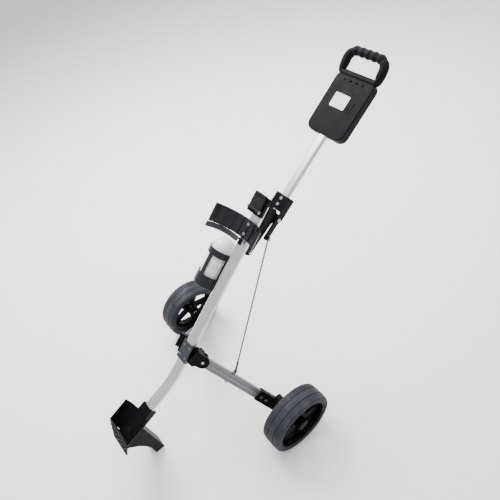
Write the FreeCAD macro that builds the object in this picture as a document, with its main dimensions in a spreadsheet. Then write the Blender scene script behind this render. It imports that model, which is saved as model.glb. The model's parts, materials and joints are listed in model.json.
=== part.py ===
import FreeCAD, Part
import math
import os
import re
import Sketcher

# Two-wheeled folding pull cart: spine tube, folding legs and wheels, folding handle, bottle cage.
# +X is the right-hand wheel, +Y the handle end, +Z up. Millimetres and degrees.

Vector = FreeCAD.Vector
doc = FreeCAD.newDocument("pull_cart")
sheet = doc.addObject("Spreadsheet::Sheet", "dims")

SIZES = [
    # datum of the cart against its own origin
    ("axle_y", -106.7), ("wheel_radius", 125.0), ("track", 664.0),
    # spine tube
    ("tube_wide", 44.0), ("tube_thick", 21.0), ("tube_wall", 1.6),
    ("tube_angle", 43.0), ("tube_end_angle", 22.5), ("bend_radius", 280.0),
    ("bend_ahead", 260.8), ("bend_height", 301.9), ("spine_run", 702.0), ("end_run", 150.0),
    ("lower_plug_long", 18.0), ("lower_plug_rim", 3.0),
    ("upper_plug_long", 20.0), ("upper_plug_rim", 4.0),
    # small standard sizes
    ("gap", 0.3), ("slack", 0.05), ("bolt_radius", 3.0), ("head_radius", 5.5), ("head_tall", 3.0),
    # leg hub on the spine
    ("hub_run", 129.0), ("hub_long", 72.0), ("saddle_wall", 2.5), ("saddle_drop", 24.0),
    ("rivet_radius", 3.2), ("rivet_tall", 1.8), ("rivet_side", 14.0), ("rivet_reach", 20.0),
    ("block_foot_out", 20.0), ("block_foot_tall", 26.0), ("block_foot_drop", 15.0),
    # legs, from the pivot to the wheel carrier
    ("pivot_side", 58.0), ("pivot_run", 133.0), ("pivot_drop", 22.0),
    ("carrier_inset", 117.0), ("carrier_ahead", 36.0), ("carrier_rise", 23.0),
    ("leg_wide", 37.0), ("leg_thick", 16.0), ("leg_fold", 70.0),
    ("leg_round", 2.5), ("groove_wide", 5.0), ("groove_deep", 1.5), ("groove_rise", 8.0),
    ("groove_start", 24.0), ("groove_margin", 20.0),
    ("cheek_thick", 5.0), ("cheek_reach", 28.0), ("cheek_long", 34.0), ("pin_radius", 4.0),
    ("carrier_wall", 4.0), ("carrier_long", 90.0), ("boss_wall", 12.0), ("boss_long", 56.0),
    ("boss_gap", 4.0), ("eye_offset", 1.0),
    ("link_eye_run", 124.0), ("link_radius", 2.5), ("link_side", 36.0),
    # wheels
    ("tyre_wide", 82.0), ("tyre_depth", 24.0), ("rim_wall", 4.0),
    ("hub_radius", 22.0), ("spoke_wide", 26.0), ("spoke_thick", 12.0),
    ("axle_radius", 6.0), ("bush_wall", 3.0), ("hub_inset", 6.0), ("spoke_side", 10.0),
    ("cap_thick", 5.0), ("cap_rim_tall", 2.0), ("cap_rim_wide", 3.0),
    # handle
    ("handle_fold", 160.0), ("hinge_run", 672.0), ("hinge_drop", 66.0), ("handle_angle", 36.2),
    ("stem_wide", 32.0), ("stem_thick", 17.0), ("stem_wall", 1.3), ("stem_drop", 6.0),
    ("stem_start", 30.0), ("stem_end", 372.0), ("yoke_inside", 48.6), ("yoke_wall", 6.0),
    ("ear_run", 67.6), ("ear_tall", 20.0), ("ear_radius", 10.0), ("yoke_socket_end", 76.0),
    ("lug_radius", 14.0), ("cheek_tall", 26.0), ("bracket_wall", 4.0),
    ("deck_side", 64.0), ("deck_tall", 12.0), ("deck_corner", 3.0), ("deck_foot", 4.0),
    ("deck_room_wide", 58.0), ("deck_room_long", 24.0), ("deck_room_tall", 10.0),
    ("lever_wide", 46.0), ("lever_long", 47.0), ("lever_thick", 7.0), ("lever_rise", 3.8),
    ("lever_lip", 8.0), ("barrel_radius", 4.5), ("barrel_rise", 4.8), ("lever_pin_radius", 2.0),
    ("console_start", 297.0), ("console_long", 202.0), ("console_wide", 148.0),
    ("console_base_thick", 20.0), ("console_lid_thick", 10.0), ("console_top", 6.0),
    ("console_corner", 26.0), ("console_wall", 2.5), ("console_rib", 3.0),
    ("label_run", 112.0), ("label_side", 8.0), ("label_wide", 58.0), ("label_tall", 46.0),
    ("label_thick", 0.8), ("slot_wide", 7.0), ("slot_long", 34.0), ("slot_side", 36.0),
    ("console_round", 3.0), ("hole_radius", 3.4), ("hole_step", 24.0),
    ("grip_wide", 168.0), ("grip_long", 92.0), ("grip_thick", 26.0), ("grip_bar", 27.0),
    ("grip_tilt", 13.0), ("grip_corner", 40.0), ("grip_window_corner", 16.0),
    ("grip_wall", 5.0), ("grip_roof", 4.0), ("grip_neck", 8.0),
    # upper cradle
    ("cradle_radius", 100.0), ("cradle_run", 578.0), ("cradle_long", 62.0), ("cradle_wall", 5.0),
    ("cradle_half_angle", 70.0), ("rib_count", 9.0), ("rib_tall", 3.0), ("rib_wide", 4.0),
    ("rib_margin", 8.0), ("cradle_lift", 4.0), ("tip_radius", 6.0), ("strap_wide", 18.0),
    ("strap_thick", 3.0),
    # lower bag rest
    ("rest_radius", 64.0), ("rest_half_angle", 68.0), ("rest_wall", 5.0), ("rest_long", 84.0),
    ("rest_start", -1.0), ("stand_wide", 50.0), ("stand_wall", 5.0), ("pad_thick", 4.0),
    ("apron_long", 92.0), ("apron_foot", 90.0), ("apron_angle", 73.0), ("apron_reach", 499.0),
    ("apron_rise", 264.0),
    ("apron_corner_drop", 6.0), ("apron_corner_in", 4.0), ("rest_tail", 44.0),
    ("socket_wall", 4.0), ("socket_long", 30.0), ("socket_reach", 60.0),
    ("lattice_wide", 17.0), ("lattice_long", 19.0), ("lattice_step", 25.0), ("lattice_turn", 25.0),
    ("pad_long", 36.0), ("pad_run", 434.0), ("pad_round", 1.2),
    ("plug_long", 18.0), ("plug_tall", 10.0), ("plug_gap", 0.5),
    # bottle and cage
    ("bottle_radius", 40.0), ("bottle_long", 172.0), ("bottle_run", 366.0), ("bottle_side", 72.0),
    ("bottle_drop", 9.0),
    ("cage_clearance", 1.5), ("cage_band_tall", 22.0), ("cage_wall", 3.5),
    ("cage_plate_thick", 4.0), ("cage_band_run", 118.0), ("cage_cup_run", 14.0),
    ("cage_cup_tall", 40.0), ("cage_arm_wide", 14.0), ("cage_arm_long", 90.0),
    ("cage_arm_run", 70.0), ("bottle_wall", 2.0), ("cap_lip", 6.0), ("cap_wall", 3.0),
]

# side profiles as (behind the axle, height above the floor)
STAND_OUTLINE = [(416, 4), (452, 4), (456, 60), (465, 95), (481, 130), (508, 168),
                 (526, 178), (512, 222), (440, 240), (432, 205), (425, 120)]
STAND_HOLLOW = [(424, 2), (444, 2), (448, 62), (457, 98), (473, 134),
                (498, 168), (492, 200), (446, 206), (433, 118)]
# side profiles as (up the spine, off its centre line), from the hinge
BRACKET_OUTLINE = [("-142", "-upper"), ("-142", "-30"), ("-32", "-50"), ("-18", "-54"),
                   ("-14", "-hinge_drop"), ("0", "-hinge_drop"), ("14", "-hinge_drop"),
                   ("20", "-50"), ("28", "-44"), ("30", "-upper")]
BRACKET_HOLLOW = [("-136", "-20"), ("-136", "-28"), ("-34", "-46"), ("-20", "-49"),
                  ("16", "-47"), ("23", "-40"), ("25", "-20")]
# strap centre line as (to the side, above its fixing)
STRAP_ROUTE = [(-96, 64), (-92, 34), (-74, 6), (-44, -9), (-8, -10)]
STRAP_SLANT = 1.5
# distances back up the leg from its foot
CARRIER_BOLTS = (4, 28)
# distance below the hinge and drop from the spine's centre line
BRACKET_BOLT = (131.0, 22.0)
# runs from the hinge, the start of the cradle, the bottle's base and the console's near edge
YOKE_BOLTS = (42.0, 64.0)
CRADLE_BOLTS = (14.0, 48.0)
CAGE_SCREWS = (40.0, 92.0)
CONSOLE_SCREWS = [(-52.0, 22.0), (-52.0, 180.0), (52.0, 22.0), (52.0, 180.0)]
# longer than anything it has to pass right through
FAR = "400"
for row, (name, value) in enumerate(SIZES, start=1):
    sheet.set("A%d" % row, str(value))
    sheet.setAlias("A%d" % row, name)
doc.recompute()


def dim(name):
    """Value of one driving size."""
    return float(sheet.get(name))


def bind(obj, prop, text):
    """Tie one property to the sheet; sizes are written as their bare names."""
    obj.setExpression(prop, expression(text))


def expression(text):
    """Expression for the sheet, from one that names the sizes alone."""
    return re.sub(r"[a-z_]{3,}", lambda word: SHEET_NAMES.get(word.group(), word.group()), str(text))


SHEET_NAMES = {name: "dims." + name for name, value in SIZES}
counter = [0]


def fresh(prefix):
    """Document name that no other object has."""
    counter[0] += 1
    return "%s_%03d" % (prefix, counter[0])


# ---------------------------------------------------------------- solids bound to the sheet
def block(x_size, y_size, z_size, x="0", y="0", z="0"):
    """Box centred on x, y, z."""
    solid = doc.addObject("Part::Box", fresh("block"))
    for prop, size, axis, centre in (("Length", x_size, "x", x), ("Width", y_size, "y", y),
                                     ("Height", z_size, "z", z)):
        bind(solid, prop, size)
        bind(solid, ".Placement.Base." + axis, "(%s) - (%s) / 2" % (centre, size))
    return solid


TURNS = {"X": FreeCAD.Rotation(Vector(0, 1, 0), 90),
         "Y": FreeCAD.Rotation(Vector(1, 0, 0), -90),
         "Z": FreeCAD.Rotation()}


def round_bar(radius, length, axis="Z", x="0", y="0", z="0", kind="Part::Cylinder"):
    """Cylinder centred on x, y, z, lying along one axis."""
    solid = doc.addObject(kind, fresh("bar"))
    bind(solid, "Radius", radius)
    bind(solid, "Height", length)
    solid.Placement = FreeCAD.Placement(Vector(), TURNS[axis])
    for letter, centre in (("x", x), ("y", y), ("z", z)):
        start = "(%s) - (%s) / 2" % (centre, length) if letter.upper() == axis else centre
        bind(solid, ".Placement.Base." + letter, start)
    return solid


def dome(radius, x="0", y="0", z="0"):
    """Ball centred on x, y, z."""
    solid = doc.addObject("Part::Sphere", fresh("dome"))
    bind(solid, "Radius", radius)
    for letter, centre in (("x", x), ("y", y), ("z", z)):
        bind(solid, ".Placement.Base." + letter, centre)
    return solid


def fuse(*solids):
    """Solids joined into one."""
    joined = doc.addObject("Part::MultiFuse", fresh("fuse"))
    joined.Shapes = list(solids)
    return joined


def cut(base, *tools):
    """Base with every tool taken away."""
    result = doc.addObject("Part::Cut", fresh("cut"))
    result.Base = base
    result.Tool = tools[0] if len(tools) == 1 else fuse(*tools)
    return result


def fillet(base, radius, wanted):
    """Round the edges for which wanted(edge) is true."""
    doc.recompute()
    result = doc.addObject("Part::Fillet", fresh("fillet"))
    result.Base = base
    chosen = [n for n, edge in enumerate(base.Shape.Edges, start=1) if wanted(edge)]
    result.Edges = [(n, radius, radius) for n in chosen]
    return result


def along(letter):
    """Edge test: straight and parallel to one axis."""
    def test(edge):
        if edge.Curve.TypeId != "Part::GeomLine":
            return False
        direction = edge.tangentAt(edge.FirstParameter)
        return abs(getattr(direction, letter)) > 0.999
    return test


def body_plane(body, role):
    """One of the three origin planes of a body."""
    return [item for item in body.Origin.OriginFeatures if item.Role == role][0]


def sketch_on(body, role):
    """Empty sketch on one of the body's origin planes."""
    sketch = body.newObject("Sketcher::SketchObject", fresh("sketch"))
    sketch.AttachmentSupport = [(body_plane(body, role), "")]
    sketch.MapMode = "FlatFace"
    return sketch


def pin_point(sketch, geometry, end, x=None, y=None):
    """Hold one point of the sketch at x, y measured from its origin."""
    for kind, text in (("DistanceX", x), ("DistanceY", y)):
        if text is None:
            continue
        index = sketch.addConstraint(Sketcher.Constraint(kind, -1, 1, geometry, end, value_of(text)))
        bind(sketch, "Constraints[%d]" % index, text)


def value_of(text):
    """Number that an expression over the sizes comes to now."""
    probe = doc.getObject("probe")
    if probe is None:
        probe = doc.addObject("App::FeaturePython", "probe")
        probe.addProperty("App::PropertyFloat", "Value")
    return float(probe.evalExpression(expression(text)))


def outline(sketch, points):
    """Closed polygon whose corners follow the sheet."""
    now = [Vector(value_of(x), value_of(y), 0) for x, y in points]
    first = sketch.GeometryCount
    count = len(points)
    for n in range(count):
        sketch.addGeometry(Part.LineSegment(now[n], now[(n + 1) % count]))
    for n in range(count):
        sketch.addConstraint(
            Sketcher.Constraint("Coincident", first + n, 2, first + (n + 1) % count, 1))
    for n, (x, y) in enumerate(points):
        pin_point(sketch, first + n, 1, x, y)


def pad(body, sketch, length):
    """Sketch extruded equally to both sides of its plane."""
    feature = body.newObject("PartDesign::Pad", fresh("pad"))
    feature.Profile = sketch
    feature.SideType = "Symmetric"
    bind(feature, "Length", length)
    return feature


def plate(points, thickness, role="YZ_Plane"):
    """Flat plate of polygon outline, its thickness centred on the plane."""
    body = doc.addObject("PartDesign::Body", fresh("plate"))
    sketch = sketch_on(body, role)
    outline(sketch, points)
    pad(body, sketch, thickness)
    doc.recompute()
    return body


def oval_bar(wide, thick, length, start):
    """Flat-oval bar along Y from start: two half-round edges joined by flats."""
    flat = "(%s) - (%s)" % (wide, thick)
    middle = "(%s) + (%s) / 2" % (start, length)
    half = "(%s) / 2" % flat
    return fuse(block(flat, length, thick, y=middle),
                round_bar("(%s) / 2" % thick, length, "Y", x=half, y=middle),
                round_bar("(%s) / 2" % thick, length, "Y", x="-(%s)" % half, y=middle))


def ring(outer, inner, length, axis="X", x="0", y="0", z="0"):
    """Tube of two radii centred on x, y, z."""
    return cut(round_bar(outer, length, axis, x, y, z),
               round_bar(inner, "(%s) + 2" % length, axis, x, y, z))


# ---------------------------------------------------------------- places
def tilted(angle, origin):
    """Frame at origin turned up from the ground by angle about X."""
    return FreeCAD.Placement(origin, FreeCAD.Rotation(Vector(1, 0, 0), angle))


BEND = Vector(0, dim("axle_y") - dim("bend_ahead"), dim("bend_height"))
SPINE = tilted(dim("tube_angle"), BEND)


def on_spine(x=0.0, run=0.0, rise=0.0):
    """Placement square to the spine, run up it from the bend and rise off its centre line."""
    return SPINE * FreeCAD.Placement(Vector(x, run, rise), FreeCAD.Rotation())


def on_end(x=0.0, run=0.0, rise=0.0):
    """Placement square to the lower end of the tube, run measured from its open mouth."""
    end = tilted(dim("tube_end_angle"), BEND)
    return end * FreeCAD.Placement(Vector(x, run - dim("end_run"), rise), FreeCAD.Rotation())


HINGE = on_spine(run=dim("hinge_run"), rise=-dim("hinge_drop")).Base


def on_handle(x=0.0, run=0.0, rise=0.0, extra=0.0):
    """Placement square to the handle, run out from its hinge, turned up by extra."""
    place = tilted(dim("handle_angle"), HINGE)
    return place * FreeCAD.Placement(Vector(x, run, rise), FreeCAD.Rotation(Vector(1, 0, 0), extra))


def leg_frame():
    """Right leg: X across its thickness along the fold axis, Y down the leg, Z its wide way."""
    pivot = on_spine(dim("pivot_side"), dim("pivot_run"), -dim("pivot_drop")).Base
    carrier = Vector(dim("track") / 2 - dim("carrier_inset"), dim("axle_y") - dim("carrier_ahead"),
                     dim("wheel_radius") + dim("carrier_rise"))
    down = carrier - pivot
    run = down.Length
    down.normalize()
    up_spine = SPINE.Rotation.multVec(Vector(0, 1, 0))
    fold_axis = down.cross(up_spine)
    fold_axis.normalize()
    edge = fold_axis.cross(down)
    return FreeCAD.Placement(pivot, FreeCAD.Rotation(fold_axis, down, edge, "XYZ")), run


# the handle's tube lies a little under the line through its hinge
STEM_DROP = FreeCAD.Placement(Vector(0, 0, -dim("stem_drop")), FreeCAD.Rotation())
LEG, LEG_RUN = leg_frame()
LEG_LONG = LEG_RUN + 8.0
AXLE = Vector(0, dim("axle_y"), dim("wheel_radius"))

nodes = {}


def keep(solid, label, place=None):
    """Name a finished sub-part and put it where it belongs."""
    if place is not None:
        solid.Placement = place
    solid.Label = label
    nodes[label] = solid
    return solid


def keep_pair(solid, name, place=None):
    """Right-hand sub-part and its mirror image on the left."""
    keep(solid, name + "_right", place)
    other = doc.addObject("Part::Mirroring", fresh("mirror"))
    other.Source = solid
    other.Normal = Vector(1, 0, 0)
    keep(other, name + "_left")


def at(solid, place):
    """Carry a helper solid from its own frame to another place before it is joined to others."""
    doc.recompute()
    local = solid.Placement
    for letter in "xyz":
        solid.setExpression(".Placement.Base." + letter, None)
    solid.Placement = place * local
    return solid


# ---------------------------------------------------------------- spine
def oval_profile(sketch, wide, thick):
    """Slot outline: two half circles joined by two lines, all tied to the sheet."""
    half = "((%s) - (%s)) / 2" % (wide, thick)
    radius = "(%s) / 2" % thick
    reach = value_of(half)
    size = value_of(radius)
    first = sketch.GeometryCount
    quarter = math.pi / 2
    right = Part.Circle(Vector(reach, 0, 0), Vector(0, 0, 1), size)
    left = Part.Circle(Vector(-reach, 0, 0), Vector(0, 0, 1), size)
    sketch.addGeometry(Part.ArcOfCircle(right, -quarter, quarter))
    sketch.addGeometry(Part.LineSegment(Vector(reach, size, 0), Vector(-reach, size, 0)))
    sketch.addGeometry(Part.ArcOfCircle(left, quarter, 3 * quarter))
    sketch.addGeometry(Part.LineSegment(Vector(-reach, -size, 0), Vector(reach, -size, 0)))
    for a, a_end, b, b_end in ((0, 2, 1, 1), (1, 2, 2, 1), (2, 2, 3, 1), (3, 2, 0, 1)):
        sketch.addConstraint(Sketcher.Constraint("Coincident", first + a, a_end, first + b, b_end))
    pin_point(sketch, first, 3, half)
    pin_point(sketch, first + 2, 3, "-(%s)" % half)
    pin_point(sketch, first + 1, 1, half, radius)
    pin_point(sketch, first + 1, 2, "-(%s)" % half, radius)
    pin_point(sketch, first + 3, 1, "-(%s)" % half, "-(%s)" % radius)
    pin_point(sketch, first + 3, 2, half, "-(%s)" % radius)


def tube_path(sketch):
    """Straight lower end, one round bend, long straight spine, in the plane x = 0."""
    turn = math.radians(dim("tube_angle") - dim("tube_end_angle"))
    radius = dim("bend_radius")
    tangent = radius * math.tan(turn / 2)
    start = dim("end_run") - tangent
    bend_end = Vector(start + radius * math.sin(turn), radius * (1 - math.cos(turn)), 0)
    bend_mid = Vector(start + radius * math.sin(turn / 2), radius * (1 - math.cos(turn / 2)), 0)
    rest = dim("spine_run") - tangent
    top = bend_end + Vector(rest * math.cos(turn), rest * math.sin(turn), 0)
    sketch.addGeometry(Part.LineSegment(Vector(), Vector(start, 0, 0)))
    sketch.addGeometry(Part.Arc(Vector(start, 0, 0), bend_mid, bend_end))
    sketch.addGeometry(Part.LineSegment(bend_end, top))


def main_tube():
    """Flat-oval aluminium tube, swept along the bent spine."""
    body = doc.addObject("PartDesign::Body", "main_tube_body")
    path = sketch_on(body, "YZ_Plane")
    tube_path(path)
    profile = sketch_on(body, "XZ_Plane")
    oval_profile(profile, "tube_wide", "tube_thick")
    oval_profile(profile, "tube_wide - 2 * tube_wall", "tube_thick - 2 * tube_wall")
    doc.recompute()
    pipe = body.newObject("PartDesign::AdditivePipe", "main_tube_pipe")
    pipe.Profile = profile
    pipe.Spine = (path, ["Edge1", "Edge2", "Edge3"])
    doc.recompute()
    keep(body, "main_tube", on_end())


def tube_plugs():
    """Plastic plug in each end of the spine tube."""
    inside_wide = "tube_wide - 2 * tube_wall - 2 * slack"
    inside_thick = "tube_thick - 2 * tube_wall - 2 * slack"
    plug = fuse(oval_bar(inside_wide, inside_thick, "lower_plug_long", "0"),
                oval_bar("tube_wide", "tube_thick", "lower_plug_rim", "-lower_plug_rim"))
    keep(plug, "lower_end_plug", on_end())
    top = fuse(oval_bar(inside_wide, inside_thick, "upper_plug_long", "-upper_plug_long"),
               oval_bar("tube_wide", "tube_thick", "upper_plug_rim", "0"))
    keep(top, "upper_end_plug", on_spine(run=dim("spine_run")))


# ---------------------------------------------------------------- lower bag rest and stand
def trough(radius, wall, half_angle, length, role="XZ_Plane"):
    """Part of a round trough: arc band centred over the lowest point, extruded both ways along Y."""
    body = doc.addObject("PartDesign::Body", fresh("trough"))
    sketch = sketch_on(body, role)
    inner = value_of(radius)
    outer = inner + value_of(wall)
    half = math.radians(value_of(half_angle))
    centre = Vector(0, inner, 0)
    low = -math.pi / 2
    for size in (inner, outer):
        circle = Part.Circle(centre, Vector(0, 0, 1), size)
        index = sketch.addGeometry(Part.ArcOfCircle(circle, low - half, low + half))
        pin_point(sketch, index, 3, "0", radius)
    for side in (-1, 1):
        reach = Vector(side * math.sin(half), -math.cos(half), 0)
        sketch.addGeometry(Part.LineSegment(centre + reach * inner, centre + reach * outer))
    for a, a_end, b, b_end in ((0, 1, 2, 1), (1, 1, 2, 2), (0, 2, 3, 1), (1, 2, 3, 2)):
        sketch.addConstraint(Sketcher.Constraint("Coincident", a, a_end, b, b_end))
    for side, end in ((-1, 1), (1, 2)):
        for geometry, size in ((0, radius), (1, "(%s) + (%s)" % (radius, wall))):
            x = "%d * (%s) * sin(%s)" % (side, size, half_angle)
            y = "(%s) - (%s) * cos(%s)" % (radius, size, half_angle)
            pin_point(sketch, geometry, end, x, y if side < 0 else None)
    pad(body, sketch, length)
    doc.recompute()
    return body


def about_trough(radius, angle):
    """Turn about the trough's long centre line, which lies one radius above its floor."""
    turn = FreeCAD.Rotation(Vector(0, 1, 0), angle)
    centre = Vector(0, 0, radius)
    return FreeCAD.Placement(centre - turn.multVec(centre), turn)


def window_slots():
    """Openings of the lattice floor: rows across the trough, columns along it."""
    slots = []
    for column in range(-2, 3):
        for row in (-1, 0, 1):
            opening = block("lattice_wide", "lattice_long", "4 * rest_wall",
                            y="%d * lattice_step" % row)
            slots.append(at(opening, about_trough(dim("rest_radius"), column * dim("lattice_turn"))))
    return slots


def lower_rest():
    """Lattice trough, front wall and stand leg in one moulding around the tube's lower end."""
    mouth = on_end()
    long = dim("rest_long") + dim("rest_tail")
    floor_rise = dim("tube_thick") / 2 + dim("socket_wall")
    floor = cut(trough("rest_radius", "rest_wall", "rest_half_angle", "rest_long + rest_tail"),
                *window_slots())
    floor = at(floor, on_end(run=dim("rest_start") - long / 2, rise=floor_rise))

    wall_place = FreeCAD.Placement(
        Vector(0, dim("axle_y") - dim("apron_reach"), dim("apron_rise")),
        FreeCAD.Rotation(Vector(1, 0, 0), dim("apron_angle") - 90.0))
    wing = "rest_radius * sin(rest_half_angle)"
    apron = plate([("-apron_foot / 2", "-apron_long"), ("apron_foot / 2", "-apron_long"),
                   (wing, "-apron_corner_drop"), ("%s - apron_corner_in" % wing, "0"),
                   ("-(%s - apron_corner_in)" % wing, "0"), ("-(%s)" % wing, "-apron_corner_drop")],
                  "rest_wall", "XZ_Plane")
    apron = at(apron, wall_place)
    ahead = at(block(FAR, FAR, FAR, y="-%s / 2" % FAR), wall_place)

    outer_wide = "tube_wide + 2 * socket_wall"
    outer_thick = "tube_thick + 2 * socket_wall"
    sleeve = at(block(outer_wide, "socket_long + socket_reach", outer_thick,
                      y="(socket_long - socket_reach) / 2"), mouth)
    stand = side_plate(STAND_OUTLINE, "stand_wide")
    hollow = side_plate(STAND_HOLLOW, "stand_wide - 2 * stand_wall")
    shell = fuse(cut(fuse(floor, sleeve, stand), ahead), apron)
    bore = at(oval_bar("tube_wide", "tube_thick", "socket_long + 2 * lower_plug_rim",
                       "-lower_plug_rim"), mouth)
    keep(cut(shell, hollow, bore), "lower_rest")


def side_plate(profile, width):
    """Plate with a side profile given behind the axle and above the floor."""
    return plate([("axle_y - %d" % behind, "%d" % height) for behind, height in profile], width)


def stand_pad():
    """Rubber sole plugged into the foot of the stand."""
    middle = "axle_y - pad_run"
    sole = block("stand_wide", "pad_long", "pad_thick", y=middle, z="pad_thick / 2")
    sole = fillet(sole, dim("pad_round"), lambda edge: edge.CenterOfMass.z < dim("pad_thick") / 8)
    plug = block("stand_wide - 2 * stand_wall - 2 * plug_gap", "plug_long", "plug_tall",
                 y=middle, z="pad_thick + plug_tall / 2")
    keep(fuse(sole, plug), "stand_pad")


def bolt_row(label, places, shank, head="head_radius"):
    """Group of like bolts: domed head outside, shank inward along -Z of each place."""
    solids = []
    for place in places:
        bolt = fuse(round_bar(head, "head_tall", "Z", z="head_tall / 2"),
                    round_bar("bolt_radius", shank, "Z", z="-(%s) / 2" % shank))
        bolt.Placement = place
        solids.append(bolt)
    group = doc.addObject("Part::Compound", fresh("group"))
    group.Links = solids
    keep(group, label)


def drilled(solid, places, deep, home=None):
    """Bolt holes with room for the heads, cut in a solid that belongs at home."""
    back = (home or FreeCAD.Placement()).inverse()
    holes = [at(fuse(round_bar("bolt_radius + slack", "%s + slack" % deep, "Z",
                               z="-(%s + slack) / 2" % deep),
                     round_bar("head_radius + gap", "head_tall + 1", "Z", z="(head_tall + 1) / 2")),
                back * place)
             for place in places]
    return cut(solid, *holes)


# ---------------------------------------------------------------- leg hub
def hub():
    """Saddle riveted over the spine, which the two leg blocks hang from."""
    place = on_spine(run=dim("hub_run"))
    top = "tube_thick / 2 + slack"
    inside = "tube_wide + 2 * gap"
    outside = "tube_wide + 2 * gap + 2 * saddle_wall"
    lid = block(outside, "hub_long", "saddle_wall",
                z="%s + saddle_wall / 2" % top)
    skirt = cut(block(outside, "hub_long", "saddle_drop", z="%s - saddle_drop / 2" % top),
                block(inside, "hub_long + 2", "saddle_drop + 2", z="%s - saddle_drop / 2" % top))
    corners = [("%srivet_side" % x, "%srivet_reach" % y) for x in ("-", "") for y in ("-", "")]
    holes = [round_bar("rivet_radius - 1", "4 * saddle_wall", "Z", x, y, top) for x, y in corners]
    keep(cut(fuse(lid, skirt), *holes), "hub_saddle", place)
    rivets = [fuse(round_bar("rivet_radius", "rivet_tall", "Z", x, y,
                             "%s + saddle_wall + rivet_tall / 2" % top),
                   round_bar("rivet_radius - 1", "saddle_wall", "Z", x, y,
                             "%s + saddle_wall / 2" % top))
              for x, y in corners]
    group = doc.addObject("Part::Compound", fresh("group"))
    group.Links = rivets
    keep(group, "hub_rivets", place)


def swing_room():
    """Space that the folding leg sweeps inside its block, in the leg's own frame."""
    thick = "leg_thick + 2 * gap"
    tools = [round_bar("leg_wide / 2 + 1", thick, "X")]
    steps = 4
    for step in range(steps + 1):
        turn = FreeCAD.Rotation(Vector(1, 0, 0), dim("leg_fold") * step / steps)
        tools.append(at(block(thick, "120", "leg_wide + 2", y="60"), FreeCAD.Placement(Vector(), turn)))
    return fuse(*tools)


def leg_block():
    """Black clevis that carries one leg's pivot bolt, fixed to the side of the hub saddle."""
    reach = "leg_thick + 2 * gap + 2 * cheek_thick"
    cheeks = fuse(round_bar("cheek_reach - 4", reach, "X"),
                  block(reach, "cheek_long", "2 * cheek_reach - 8", y="-cheek_long / 2"))
    side = "tube_wide / 2 + gap + saddle_wall"
    foot = at(block("block_foot_out", "hub_long - 8", "block_foot_tall",
                    x="%s + block_foot_out / 2" % side, z="-block_foot_drop"),
              on_spine(run=dim("hub_run")))
    room = at(swing_room(), LEG)
    bore = at(round_bar("pin_radius", "2 * (%s)" % reach, "X"), LEG)
    spine_room = at(block("tube_wide + 2 * gap + 2 * saddle_wall", FAR, "120"),
                    on_spine(run=dim("hub_run")))
    heads = [at(round_bar("head_radius + gap", "head_tall + 2", "X",
                          x="%s((%s) / 2 + (head_tall + 2) / 2)" % (side_sign, reach)), LEG)
             for side_sign in ("-", "")]
    keep_pair(cut(fuse(at(cheeks, LEG), foot), room, bore, spine_room, *heads), "leg_block")
    bolt = fuse(round_bar("pin_radius", reach, "X"),
                round_bar("head_radius", "head_tall", "X", x="(%s + head_tall) / 2" % reach),
                round_bar("head_radius", "head_tall", "X", x="-(%s + head_tall) / 2" % reach))
    keep_pair(bolt, "leg_pivot_bolt", LEG)


# ---------------------------------------------------------------- legs and wheels
def leg():
    """Grooved leg bar with its pivot bore and the eye for the rod's stud."""
    long = "%f" % LEG_LONG
    bar = fuse(round_bar("leg_wide / 2", "leg_thick", "X"),
               block("leg_thick", long, "leg_wide", y="%s / 2" % long))
    edges = fillet(bar, dim("leg_round"), along("y"))
    groove_long = "(%s - groove_margin)" % long
    grooves = [block("2 * groove_deep", groove_long, "groove_wide", "%sleg_thick / 2" % side,
                     "groove_start + %s / 2" % groove_long, "%sgroove_rise" % edge)
               for side in ("-", "") for edge in ("-", "")]
    bore = round_bar("pin_radius + slack", "leg_thick + 2", "X")
    eye = round_bar("bolt_radius + slack", "leg_wide + 2", "Z", y="link_eye_run")
    keep_pair(cut(edges, bore, eye, *grooves), "leg", LEG)


def wheel_carrier():
    """Black moulding that sleeves the leg's foot and holds the axle's inner end."""
    run = "%f" % LEG_RUN
    around = "leg_thick + 2 * carrier_wall"
    sleeve = fillet(block(around, "carrier_long", "leg_wide + 2 * carrier_wall",
                          y="%s + carrier_wall" % run), dim("carrier_wall"), along("y"))
    pocket = block("leg_thick", "carrier_long + 10", "leg_wide",
                   y="%f - (carrier_long + 10) / 2" % LEG_LONG)
    boss_place = FreeCAD.Placement(AXLE + Vector(boss_middle(), 0, 0), FreeCAD.Rotation())
    boss = at(round_bar("axle_radius + boss_wall", "boss_long", "X"), boss_place)
    bore = at(round_bar("axle_radius", "boss_long + 4", "X"), boss_place)
    keep_pair(cut(fuse(at(cut(sleeve, pocket), LEG), boss), bore), "wheel_carrier")
    screw = fuse(*[round_bar("head_radius", "%s + 2 * head_tall" % around, "X",
                             y="%s - %d" % (run, back)) for back in CARRIER_BOLTS])
    keep_pair(cut(screw, block(around, FAR, "leg_wide + 20", y=run)), "carrier_bolts", LEG)


def boss_middle():
    """Middle of the axle's boss, out from the cart's centre plane."""
    return dim("track") / 2 - dim("tyre_wide") / 2 - dim("boss_gap") - dim("boss_long") / 2


def revolved(points):
    """Ring of polygon section: first value along the axle, second out from it."""
    body = doc.addObject("PartDesign::Body", fresh("turned"))
    sketch = sketch_on(body, "XY_Plane")
    outline(sketch, points)
    turned = body.newObject("PartDesign::Revolution", fresh("turn"))
    turned.Profile = sketch
    turned.ReferenceAxis = (sketch, ["H_Axis"])
    turned.Angle = 360
    doc.recompute()
    return body


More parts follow.
